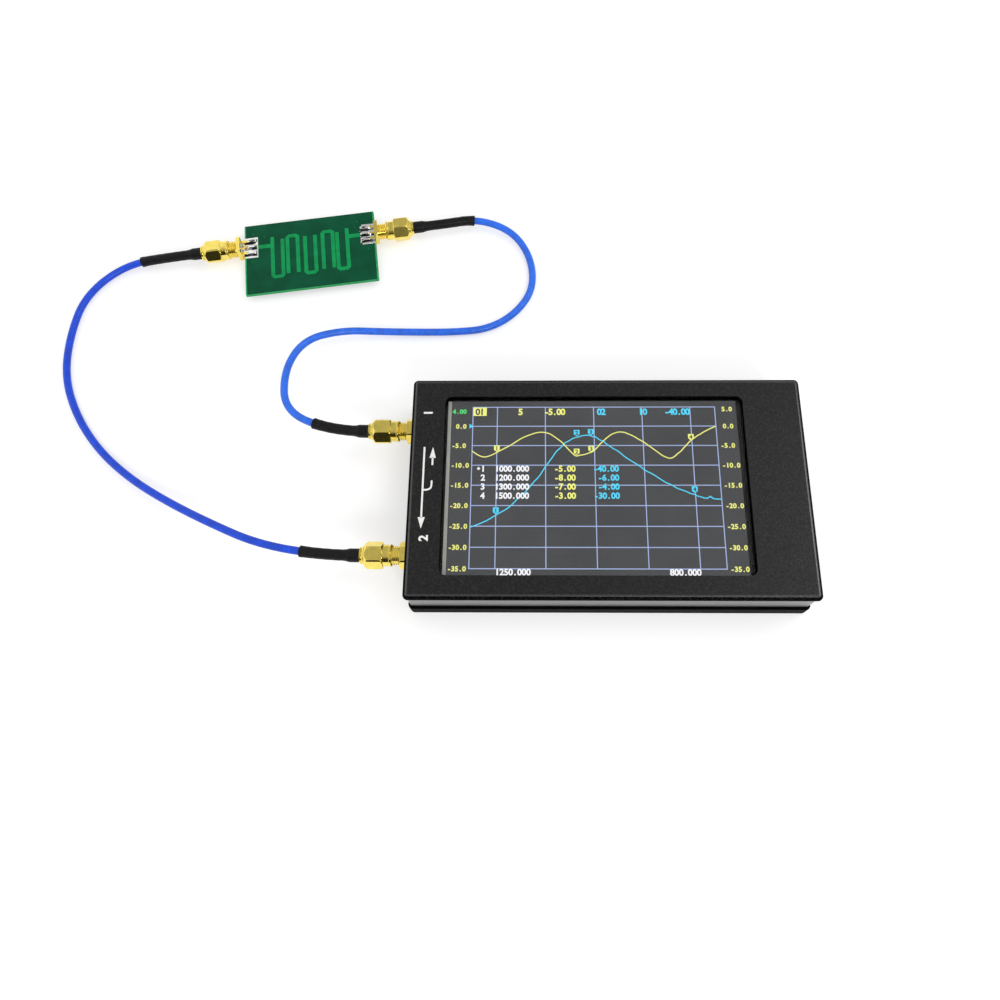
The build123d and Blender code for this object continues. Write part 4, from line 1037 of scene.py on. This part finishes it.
def measured(points, jitter):
    """Smooth curve through the points with the small steps of a measured one."""
    pieces = 5
    ends = [points[0], *points, points[-1]]
    line = []
    for a, b, c, d in zip(ends, ends[1:], ends[2:], ends[3:]):
        for piece in range(pieces):
            t = piece / pieces
            x, y = (
                ((2 * q + (r - p) * t + (2 * p - 5 * q + 4 * r - s) * t * t)
                 + (3 * q - p - 3 * r + s) * t ** 3) / 2
                for p, q, r, s in zip(a, b, c, d)
            )
            slope = abs(c[1] - b[1]) / (abs(c[0] - b[0]) + 0.1)
            line.append((x, y + jitter * min(1.0, 1.6 * slope) * sin(5.3 * len(line) ** 1.1)))
    return line + [points[-1]]


def glow_finish(name, colour):
    """Lit picture element under the glass."""
    return new_finish(
        name, (0.002, 0.002, 0.002), 0.6, Specular_IOR_Level=0.08,
        Emission_Color=(*colour, 1.0), Emission_Strength=1.0,
    )


def build_picture(settings):
    """The lit measurement picture: grid, numerals, two curves and their markers."""
    finishes = [
        glow_finish("picture_grid", settings.grid_colour),
        glow_finish("picture_first", settings.first_colour),
        glow_finish("picture_second", settings.second_colour),
        glow_finish("picture_white", (0.95, 0.95, 0.99)),
        glow_finish("picture_green", (0.10, 0.78, 0.20)),
        glow_finish("picture_dark", (0.07, 0.075, 0.085)),
    ]
    bm = bmesh.new()
    low, middle, high = DISPLAY_TOP + 0.02, DISPLAY_TOP + 0.05, DISPLAY_TOP + 0.08

    def write(text, x, y, height, pitch, index):
        write_numerals(bm, text, Vector((x, y, high)), height, pitch, index)

    half = settings.line_width / MM / 2
    row_pitch = (PLOT_TOP - PLOT_BOTTOM) / PLOT_ROWS
    rows = [PLOT_TOP - row_pitch * row for row in range(PLOT_ROWS + 1)]
    for row in rows:
        add_bar(bm, (PLOT_LEFT - half, row - half), (PLOT_RIGHT + half, row + half), low, GRID)
    for column in (PLOT_LEFT, *PLOT_COLUMNS, PLOT_RIGHT):
        add_bar(
            bm, (column - half, PLOT_BOTTOM), (column + half, PLOT_TOP), low + 0.004, GRID
        )
    for step, row in enumerate(rows):
        value = 5 - 5 * step
        text = f"{value:.1f}" if value < 0 else f" {value:.1f}"
        write(text, 37.5, row - 0.75 * (step == 0), 1.65, 1.18, FIRST)
        if step:
            write(text, -51.4, row, 1.65, 1.18, FIRST)
    write("4.00", -51.5, 26.5, 1.65, 1.18, GREEN)
    add_bar(bm, (-44.5, 24.9), (-40.0, 27.95), middle, FIRST)
    write("01", -43.7, 26.45, 2.3, 1.4, DARK)
    for text, x, index in HEADER:
        write(text, x, 26.4, 2.3, 1.38, index)
    for number, first, second, third, row in TABLE_ROWS:
        write(number, -41.5, row, 2.1, 1.4, WHITE)
        write(first, -36.9, row, 2.1, 1.4, WHITE)
        write(second, -17.4, row, 2.1, 1.38, FIRST)
        write(third, -4.6, row, 2.1, 1.38, SECOND)
    add_polygon(bm, [(-42.9, 6.1), (-42.3, 5.5), (-41.7, 6.1), (-42.3, 6.7)], high, WHITE)
    for text, x in FOOT:
        write(text, x, -28.4, 2.1, 1.4, WHITE)
    # Curves, their markers and the reference triangle
    curve_width = settings.curve_width / MM
    add_ribbon(bm, measured(FIRST_CURVE, 0.05), curve_width, middle, FIRST)
    add_ribbon(bm, measured(SECOND_CURVE, 0.16), curve_width, middle, SECOND)
    for markers, index in ((FIRST_MARKERS, FIRST), (SECOND_MARKERS, SECOND)):
        for number, x, y in markers:
            shield = [
                (x - 0.95, y + 1.05), (x - 0.95, y - 0.55), (x, y - 1.2), (x + 0.95, y - 0.55),
                (x + 0.95, y + 1.05),
            ]
            add_polygon(bm, shield, middle + 0.015, index)
            write(number, x - 0.65, y + 0.05, 1.45, 1.3, DARK)
    add_polygon(bm, [(-45.7, 22.0), (-45.7, 20.3), (-44.35, 21.13)], middle, SECOND)
    add_piece("screen_picture", to_metres(bm), finishes, "case")


def build_display(settings):
    """Dark display in a black border, with its pale rim showing along one end."""
    panel = glow_finish("display_surface", settings.glow)
    haze = add_noise(panel, 22.0, detail=2.0)
    low, high = tinted(settings.glow, 0.92), tinted(settings.glow, 1.10)
    add_mottle(panel, haze, low, high, between=(0.3, 0.7), socket="Emission Color")
    NODES["display_panel"].data.materials[0] = panel

    left, right, near, far = LIT_AREA
    pale = textured("display_rim", (0.50, 0.50, 0.46), 0.35, sheen=(2.0, 0.3, 0.5))
    bm = bmesh.new()
    add_bar(bm, (left, near), (left + 1.15, far), DISPLAY_TOP + 0.03, 0)
    add_piece("display_rim_strip", to_metres(bm), [pale], "case")

    ink = textured(
        "border_ink", (0.004, 0.004, 0.004), 0.4, relief=(0.4, 0.01, 0.3), Specular_IOR_Level=0.2
    )
    half_length, half_width = GLASS_SIZE[0] / 2 - 0.2, GLASS_SIZE[1] / 2 - 0.2
    start, end = SCREEN_MIDDLE - half_length, SCREEN_MIDDLE + half_length
    bm = bmesh.new()
    for corner, opposite in (
        ((start, -half_width), (left, half_width)), ((right, -half_width), (end, half_width)),
        ((left, -half_width), (right, near)), ((left, far), (right, half_width)),
    ):
        add_bar(bm, corner, opposite, DISPLAY_TOP + 0.10, 0)
    bmesh.ops.remove_doubles(bm, verts=bm.verts[:], dist=1e-4)
    add_piece("screen_border", to_metres(bm), [ink], "case")


def build_glass():
    """Touch glass with polished edges and a coating that takes away most reflections."""
    glass = new_finish(
        "touch_glass", (1.0, 1.0, 1.0), 0.0, Transmission_Weight=1.0, IOR=1.5,
        Specular_Tint=(0.1, 0.1, 0.1, 1.0),
    )
    add_mottle(glass, add_noise(glass, 14.0), (0.97, 0.975, 0.975), (1.0, 1.0, 1.0))
    bm = bmesh.new()
    bottom = DISPLAY_TOP + 0.12
    size = (GLASS_SIZE[0], GLASS_SIZE[1], GLASS_TOP - bottom)
    bmesh.ops.create_cube(bm, size=1.0, matrix=Matrix.Diagonal((*size, 1)))
    bmesh.ops.bevel(
        bm, geom=bm.edges[:], offset=0.12, affect="EDGES", segments=2, profile=0.5, material=-1
    )
    bmesh.ops.translate(bm, verts=bm.verts[:], vec=(SCREEN_MIDDLE, 0, (GLASS_TOP + bottom) / 2))
    piece = add_piece(
        "touch_glass", to_metres(bm), [glass], "case", ["touch_panel"], sharp=15.0
    )
    keep_faces_flat(piece)


# -------------------------------------------------------------- filter board
def tin_finish():
    flow = {"grain": 1.2, "detail": 2.0, "stretch": (3, 1, 1), "turn": FILTER_TURN}
    return bpy.data.materials.get("tinned_copper") or textured(
        "tinned_copper", (0.90, 0.90, 0.88), 0.12, 1.0,
        mottle=(0.9, (0.80, 0.80, 0.79), (0.95, 0.95, 0.93)),
        sheen=(0.6, 0.07, 0.2),
        relief=(flow, 0.05, 0.6),
    )


def from_middle(spot):
    """How far a point in metres lies from the filter board's middle, along the board."""
    return abs((spot / MM - filter_spot(0, 0, 0)).dot(FILTER_ALONG))


def cut_both_ends(bm, distance):
    """Cuts across the filter board at that distance from its middle."""
    for side in (-1, 1):
        cut_at(bm, filter_spot(side * distance, 0, 0) * MM, FILTER_ALONG)


def swell_outlines(bm, width):
    """Spreads every trace sideways by the mask's width, except at the board's ends."""
    moves = {}
    for vertex in bm.verts:
        if from_middle(vertex.co) > FILTER_HALF_LENGTH - 0.1:
            continue
        walls = [face.normal for face in vertex.link_faces if abs(face.normal.z) < UPRIGHT]
        if len(walls) == 2 and walls[0].dot(walls[1]) > -0.5:
            moves[vertex] = (walls[0] + walls[1]) * width / (1 + walls[0].dot(walls[1]))
    for vertex, move in moves.items():
        vertex.co += move


def build_filter_board(settings):
    """Laminate with dark green mask, brighter over the copper of its five hairpins."""
    weave = {"grain": 0.5, "detail": 1.0, "stretch": (1, 3, 1), "turn": FILTER_TURN}
    mask = textured(
        "board_mask", settings.mask_colour, 0.30, Specular_IOR_Level=0.10,
        mottle=({"grain": 6.0, "detail": 5.0, "turn": FILTER_TURN}, 0.85, 1.15),
        relief=(weave, 0.01, 0.4),
    )
    edge = textured(
        "board_edge", settings.edge_colour, 0.55,
        mottle=({"grain": 0.35, "stretch": (8, 8, 1), "turn": FILTER_TURN}, 0.7, 1.25),
    )
    board = merged_node("filter_board")
    # The band at each end takes the bright edge colour as painted light through the laminate's cut
    # edge; the side faces take it as their own colour.
    masked = FILTER_HALF_LENGTH - settings.glow_band_width / MM
    cut_both_ends(board, masked)
    for face in board.faces:
        distance = from_middle(face.calc_center_median())
        face.material_index = 0 if abs(face.normal.z) > UPRIGHT and distance < masked else 1
    add_piece(
        "filter_laminate", board, [mask, edge], "case", ["filter_board"],
        edge=0.00012,
    )

    covered = textured(
        "mask_over_copper", settings.trace_colour, 0.26, Specular_IOR_Level=0.14,
        mottle=({"grain": 3.0, "turn": FILTER_TURN}, 0.88, 1.1),
        relief=(0.5, 0.008, 0.4),
    )
    traces = merged_node("filter_traces")
    swell_outlines(traces, settings.mask_spread)
    tinned = FILTER_HALF_LENGTH - settings.tinned_length / MM
    cut_both_ends(traces, tinned)
    for face in traces.faces:
        face.material_index = 1 if from_middle(face.calc_center_median()) > tinned else 0
    add_vias(traces)
    add_piece(
        "hairpin_traces", traces, [covered, tin_finish()], "case",
        ["filter_traces"], edge=0.00005,
    )


def add_vias(bm):
    """Small holes under the mask that stitch the two ground faces together."""
    spots = [(-21.8, 11.4), (-17.6, 9.6), (-22.4, -1.2), (18.6, 11.6), (17.4, 9.2), (22.2, -1.4)]
    outline = [(0.0, 0.12), (0.0, 0.25), (0.03, 0.23), (0.03, 0.14)]
    for along, across in spots:
        place = Matrix.Scale(MM, 4) @ Matrix.Translation(filter_spot(along, across, FILTER_TOP))
        place_in(bm, turn_profile(outline, 16), place)


def build_solder():
    """Solder beside each leg of the filter board's jacks, and over the leg's far part."""
    solder = new_finish("flowed_solder", (0.9, 0.9, 0.88), 0.12, metallic=1.0)
    streaks_and_painted_reflection = add_noise(solder, 1.1, detail=2.0, stretch=(3.5, 1, 1), turn=FILTER_TURN)
    # Near-black patches in the solder's colour are painted dark reflection and shade; the same
    # streaks also give the real relief.
    add_mottle(solder, streaks_and_painted_reflection, (0.04, 0.04, 0.045), (0.92, 0.92, 0.90), between=(0.45, 0.53))
    add_sheen_change(solder, add_noise(solder, 0.6), 0.07, 0.2)
    add_relief(solder, streaks_and_painted_reflection, 0.06, 0.6)
    bm = bmesh.new()
    tip_length, climb, past_pad = 0.6, 0.7, 0.25
    # Side of the board, pad left clear at its end, and where solder starts over the legs
    for side, gap, bare in ((-1, 1.0, 1.4), (1, 0.0, 2.0)):
        length = PAD_LENGTH - gap + past_pad
        for leg, leg_half, low in ((-2.6, 0.5, 0.85), (0.0, 0.3, 0.55), (2.6, 0.5, 0.85)):
            half = leg_half + SOLDER_REACH
            sheet = bmesh.new()
            bmesh.ops.create_grid(sheet, x_segments=28, y_segments=16, size=0.5)
            for vertex in sheet.verts:
                along, across = vertex.co.x * 2, vertex.co.y * 2
                wave = 1 + 0.04 * sin(4 * along + 3 * leg) + 0.02 * sin(9 * along + side)
                beside = max(0.0, abs(across) * half - leg_half)
                rise = max(0.0, 1 - beside / SOLDER_REACH)
                tip = max(0.0, min(1.0, (1 - along) * length / 2 / tip_length))
                inward = (along + 1) / 2 * length
                cover = min(1.0, max(0.0, (inward - bare) / climb + 0.5))
                top = low + (SOLDER_OVER_LEG - low) * cover
                vertex.co = filter_spot(
                    side * (FILTER_HALF_LENGTH - inward),
                    AXIS_OFFSET + leg + across * half * wave,
                    FILTER_TOP + COPPER + top * rise ** 1.05 * tip ** 0.5,
                )
            bmesh.ops.recalc_face_normals(sheet, faces=sheet.faces[:])
            face_up(sheet.faces)
            place_in(bm, sheet, Matrix.Identity(4))
    add_piece(
        "solder_fillets", to_metres(bm), [solder], "case", ["solder_joints"],
        sharp=60.0,
    )


# ----------------------------------------------------------------- controls
def build_controls():
    """Charging socket, light pipe, power slider and jog lever in the far wall."""
    steel = textured(
        "socket_steel", (0.62, 0.62, 0.63), 0.26, 1.0,
        sheen=({"grain": 0.8, "stretch": (4, 1, 1)}, 0.2, 0.38),
    )
    resin = textured("socket_tongue", (0.012, 0.012, 0.013), 0.5, relief=(0.3, 0.01, 0.4))
    clear = textured(
        "light_pipe", (0.86, 0.88, 0.90), 0.25, sheen=(0.5, 0.2, 0.35), Transmission_Weight=0.6,
        IOR=1.49, Emission_Color=(0.25, 0.9, 0.4, 1.0), Emission_Strength=0.0,
    )
    slider = textured("slider_plastic", (0.016, 0.016, 0.017), 0.45, relief=(0.2, 0.012, 0.5))
    lever = textured("lever_plastic", (0.02, 0.02, 0.021), 0.4, relief=(0.25, 0.01, 0.5))
    rows = (
        ("charging_socket", "usb_c_shell", steel, "case", "steel", 0.00005),
        ("charging_tongue", "usb_c_tongue", resin, "case", "black_plastic", 0.00005),
        ("status_light", "status_light_pipe", clear, "case", "light_pipe", 0.00010),
        ("power_slider", "power_knob", slider, "power_knob", "black_plastic", 0.00008),
        ("jog_thumb_lever", "jog_lever", lever, "jog_lever", "lever_plastic", 0.00018),
    )
    for name, node, finish, body, slot, width in rows:
        add_piece(name, merged_node(node), [finish], body, [node], edge=width)


# ------------------------------------------------------------- inner pieces
def build_inner_finishes():
    """Finishes of the pieces inside the case and inside the connectors."""
    wires = new_finish("wire_jackets", (0.5, 0.02, 0.02), 0.4)
    split_wires(wires)
    NODES["battery_wires"].data.materials[0] = wires
    # Name, colour, roughness and share of metal, then what varies, then the nodes
    rows = (
        ("main_board_mask", (0.004, 0.05, 0.018), 0.35, 0.0,
         {"mottle": (5.0, (0.003, 0.040, 0.014), (0.006, 0.062, 0.024)),
          "relief": ({"grain": 0.6, "detail": 1.0}, 0.01, 0.4)}, "main_board"),
        ("sheet_steel", (0.56, 0.57, 0.58), 0.35, 1.0,
         {"sheen": ({"grain": 0.7, "stretch": (12, 1, 1)}, 0.25, 0.5)},
         "display_frame", "board_screws"),
        ("shield_tinplate", (0.66, 0.66, 0.65), 0.3, 1.0,
         {"sheen": (4.0, 0.22, 0.42), "relief": (9.0, 0.05, 0.4)}, "board_shields"),
        ("standoff_brass", (0.72, 0.52, 0.20), 0.28, 1.0,
         {"sheen": ({"grain": 0.5, "stretch": (1, 1, 0.2)}, 0.2, 0.4)}, "board_standoffs"),
        ("chip_resin", (0.014, 0.014, 0.015), 0.55, 0.0, {"relief": (0.15, 0.008, 0.5)},
         "board_chips"),
        ("cell_foil", (0.66, 0.67, 0.68), 0.36, 0.8,
         {"sheen": (6.0, 0.28, 0.5), "relief": ({"grain": 12.0, "detail": 4.0}, 0.25, 0.5)},
         "battery_cell"),
        ("black_foam", (0.014, 0.014, 0.014), 0.9, 0.0,
         {"relief": ({"grain": 0.3, "detail": 2.0}, 0.08, 0.8)}, "display_gasket"),
        ("pad_tape", (0.60, 0.60, 0.57), 0.8, 0.0, {"relief": (0.4, 0.04, 0.6)}, "battery_pad"),
        ("white_nylon", (0.72, 0.70, 0.64), 0.45, 0.0,
         {"mottle": (2.0, (0.68, 0.66, 0.60), (0.76, 0.74, 0.68))},
         "battery_connector", "ribbon_socket", "jog_plunger"),
        ("ribbon_film", (0.42, 0.17, 0.03), 0.35, 0.0,
         {"mottle": ({"grain": 0.6, "detail": 0.0, "stretch": (60, 1, 60)}, (0.30, 0.11, 0.02),
                     (0.52, 0.23, 0.05), (0.48, 0.52))}, "display_ribbon"),
        ("switch_housing", (0.018, 0.018, 0.019), 0.5, 0.0, {"relief": (0.2, 0.01, 0.5)},
         "power_switch_body", "jog_switch_body"),
        ("white_bead", (0.80, 0.80, 0.78), 0.4, 0.0,
         {"mottle": (1.0, (0.76, 0.76, 0.74), (0.84, 0.84, 0.82))},
         "port_jack_insulators", "filter_jack_insulators", "plug_insulators"),
        ("pin_gold", (0.92, 0.68, 0.25), 0.2, 1.0, {"sheen": (0.4, 0.14, 0.3)},
         "port_jack_contacts", "filter_jack_contacts", "plug_pins"),
        ("spring_bronze", (0.70, 0.48, 0.28), 0.3, 1.0, {"sheen": (0.4, 0.22, 0.42)},
         "nut_spring_rings"),
    )
    for name, colour, roughness, metallic, varied, *nodes in rows:
        finish = textured(name, colour, roughness, metallic, **varied)
        for node in nodes:
            NODES[node].data.materials[0] = finish


def split_wires(material):
    """Red jacket on one side of the pair and black on the other."""
    tree = material.node_tree
    place = new_node(tree, "TexCoord", {}).outputs["Object"]
    side = new_node(tree, "SeparateXYZ", {"Vector": place}).outputs["Y"]
    choice = map_range(tree, side, -0.01002, -0.00998)
    add_mottle(material, choice, (0.012, 0.012, 0.012), (0.52, 0.012, 0.012))


# ---------------------------------------------------------------- operators
class ANALYZER_OT_stage(bpy.types.Operator):
    """Add the camera, lamps, sky and floor"""

    bl_idname = "analyzer.stage"
    bl_label = "Stage"

    def execute(self, context):
        build_stage(context.scene.analyzer_stage)
        return {"FINISHED"}


class ANALYZER_OT_leads(bpy.types.Operator):
    """Add the two coax leads"""

    bl_idname = "analyzer.leads"
    bl_label = "Coax Leads"

    def execute(self, context):
        build_leads(context.scene.analyzer_leads)
        return {"FINISHED"}


class ANALYZER_OT_sleeves(bpy.types.Operator):
    """Add the shrink sleeves on the leads"""

    bl_idname = "analyzer.sleeves"
    bl_label = "Shrink Sleeves"

    def execute(self, context):
        build_sleeves(context.scene.analyzer_leads)
        return {"FINISHED"}


class ANALYZER_OT_coupling_nuts(bpy.types.Operator):
    """Add the four coupling nuts"""

    bl_idname = "analyzer.coupling_nuts"
    bl_label = "Coupling Nuts"

    def execute(self, context):
        build_coupling_nuts(context.scene.analyzer_connectors)
        return {"FINISHED"}


class ANALYZER_OT_plug_bodies(bpy.types.Operator):
    """Add the four plug bodies"""

    bl_idname = "analyzer.plug_bodies"
    bl_label = "Plug Bodies"

    def execute(self, context):
        build_plug_bodies(context.scene.analyzer_connectors)
        return {"FINISHED"}


class ANALYZER_OT_jacks(bpy.types.Operator):
    """Add the four threaded jacks"""

    bl_idname = "analyzer.jacks"
    bl_label = "Threaded Jacks"

    def execute(self, context):
        build_jacks(context.scene.analyzer_connectors)
        return {"FINISHED"}


class ANALYZER_OT_bulkhead_nuts(bpy.types.Operator):
    """Add the nuts and washers of the two ports"""

    bl_idname = "analyzer.bulkhead_nuts"
    bl_label = "Port Nuts and Washers"

    def execute(self, context):
        build_bulkhead_nuts(context.scene.analyzer_connectors)
        return {"FINISHED"}


class ANALYZER_OT_case(bpy.types.Operator):
    """Add the painted upper shell and lower cover"""

    bl_idname = "analyzer.case"
    bl_label = "Case Shells"

    def execute(self, context):
        build_case(context.scene.analyzer_case)
        return {"FINISHED"}


class ANALYZER_OT_marks(bpy.types.Operator):
    """Add the printed numerals and arrows"""

    bl_idname = "analyzer.marks"
    bl_label = "Case Marks"

    def execute(self, context):
        build_marks(context.scene.analyzer_case)
        return {"FINISHED"}


class ANALYZER_OT_case_screws(bpy.types.Operator):
    """Add the four case screws"""

    bl_idname = "analyzer.case_screws"
    bl_label = "Case Screws"

    def execute(self, context):
        build_case_screws()
        return {"FINISHED"}


class ANALYZER_OT_display(bpy.types.Operator):
    """Finish the display and add its pale rim"""

    bl_idname = "analyzer.display"
    bl_label = "Display"

    def execute(self, context):
        build_display(context.scene.analyzer_screen)
        return {"FINISHED"}


class ANALYZER_OT_picture(bpy.types.Operator):
    """Add the lit measurement picture"""

    bl_idname = "analyzer.picture"
    bl_label = "Screen Picture"

    def execute(self, context):
        build_picture(context.scene.analyzer_screen)
        return {"FINISHED"}


class ANALYZER_OT_glass(bpy.types.Operator):
    """Add the touch glass"""

    bl_idname = "analyzer.glass"
    bl_label = "Touch Glass"

    def execute(self, context):
        build_glass()
        return {"FINISHED"}


class ANALYZER_OT_filter_board(bpy.types.Operator):
    """Add the filter board and its hairpin traces"""

    bl_idname = "analyzer.filter_board"
    bl_label = "Filter Board"

    def execute(self, context):
        build_filter_board(context.scene.analyzer_filter)
        return {"FINISHED"}


class ANALYZER_OT_solder(bpy.types.Operator):
    """Add the solder at the filter board's jacks"""

    bl_idname = "analyzer.solder"
    bl_label = "Solder"

    def execute(self, context):
        build_solder()
        return {"FINISHED"}


class ANALYZER_OT_controls(bpy.types.Operator):
    """Add the charging socket, status light, power slider and jog lever"""

    bl_idname = "analyzer.controls"
    bl_label = "Wall Controls"

    def execute(self, context):
        build_controls()
        return {"FINISHED"}


class ANALYZER_OT_inner_finishes(bpy.types.Operator):
    """Finish the pieces inside the case and the connectors"""

    bl_idname = "analyzer.inner_finishes"
    bl_label = "Inner Finishes"

    def execute(self, context):
        build_inner_finishes()
        return {"FINISHED"}


SETTINGS = {
    "analyzer_stage": AnalyzerStageSettings,
    "analyzer_leads": AnalyzerLeadSettings,
    "analyzer_connectors": AnalyzerConnectorSettings,
    "analyzer_case": AnalyzerCaseSettings,
    "analyzer_screen": AnalyzerScreenSettings,
    "analyzer_filter": AnalyzerFilterSettings,
}
OPERATORS = (
    ANALYZER_OT_stage,
    ANALYZER_OT_leads,
    ANALYZER_OT_sleeves,
    ANALYZER_OT_coupling_nuts,
    ANALYZER_OT_plug_bodies,
    ANALYZER_OT_jacks,
    ANALYZER_OT_bulkhead_nuts,
    ANALYZER_OT_case,
    ANALYZER_OT_marks,
    ANALYZER_OT_case_screws,
    ANALYZER_OT_display,
    ANALYZER_OT_picture,
    ANALYZER_OT_glass,
    ANALYZER_OT_filter_board,
    ANALYZER_OT_solder,
    ANALYZER_OT_controls,
    ANALYZER_OT_inner_finishes,
)


class ANALYZER_PT_pieces(bpy.types.Panel):
    """Pieces of the antenna analyzer"""

    bl_idname = "ANALYZER_PT_pieces"
    bl_label = "Antenna Analyzer"
    bl_space_type = "VIEW_3D"
    bl_region_type = "UI"
    bl_category = "Analyzer"

    def draw(self, context):
        layout = self.layout
        for operator in OPERATORS:
            layout.operator(operator.bl_idname)
        for name in SETTINGS:
            settings = getattr(context.scene, name)
            box = layout.box()
            for key in settings.bl_rna.properties.keys():
                if key not in ("rna_type", "name"):
                    box.prop(settings, key)


def register():
    for name, group in SETTINGS.items():
        bpy.utils.register_class(group)
        setattr(bpy.types.Scene, name, PointerProperty(type=group))
    for operator in OPERATORS:
        bpy.utils.register_class(operator)
    bpy.utils.register_class(ANALYZER_PT_pieces)


def unregister():
    bpy.utils.unregister_class(ANALYZER_PT_pieces)
    for operator in reversed(OPERATORS):
        bpy.utils.unregister_class(operator)
    for name, group in reversed(SETTINGS.items()):
        delattr(bpy.types.Scene, name)
        bpy.utils.unregister_class(group)


def main():
    register()
    bpy.ops.analyzer.stage()
    bpy.ops.analyzer.leads()
    bpy.ops.analyzer.sleeves()
    bpy.ops.analyzer.coupling_nuts()
    bpy.ops.analyzer.plug_bodies()
    bpy.ops.analyzer.jacks()
    bpy.ops.analyzer.bulkhead_nuts()
    bpy.ops.analyzer.case()
    bpy.ops.analyzer.marks()
    bpy.ops.analyzer.case_screws()
    bpy.ops.analyzer.display()
    bpy.ops.analyzer.picture()
    bpy.ops.analyzer.glass()
    bpy.ops.analyzer.filter_board()
    bpy.ops.analyzer.solder()
    bpy.ops.analyzer.controls()
    bpy.ops.analyzer.inner_finishes()


if __name__ == "__main__":
    main()
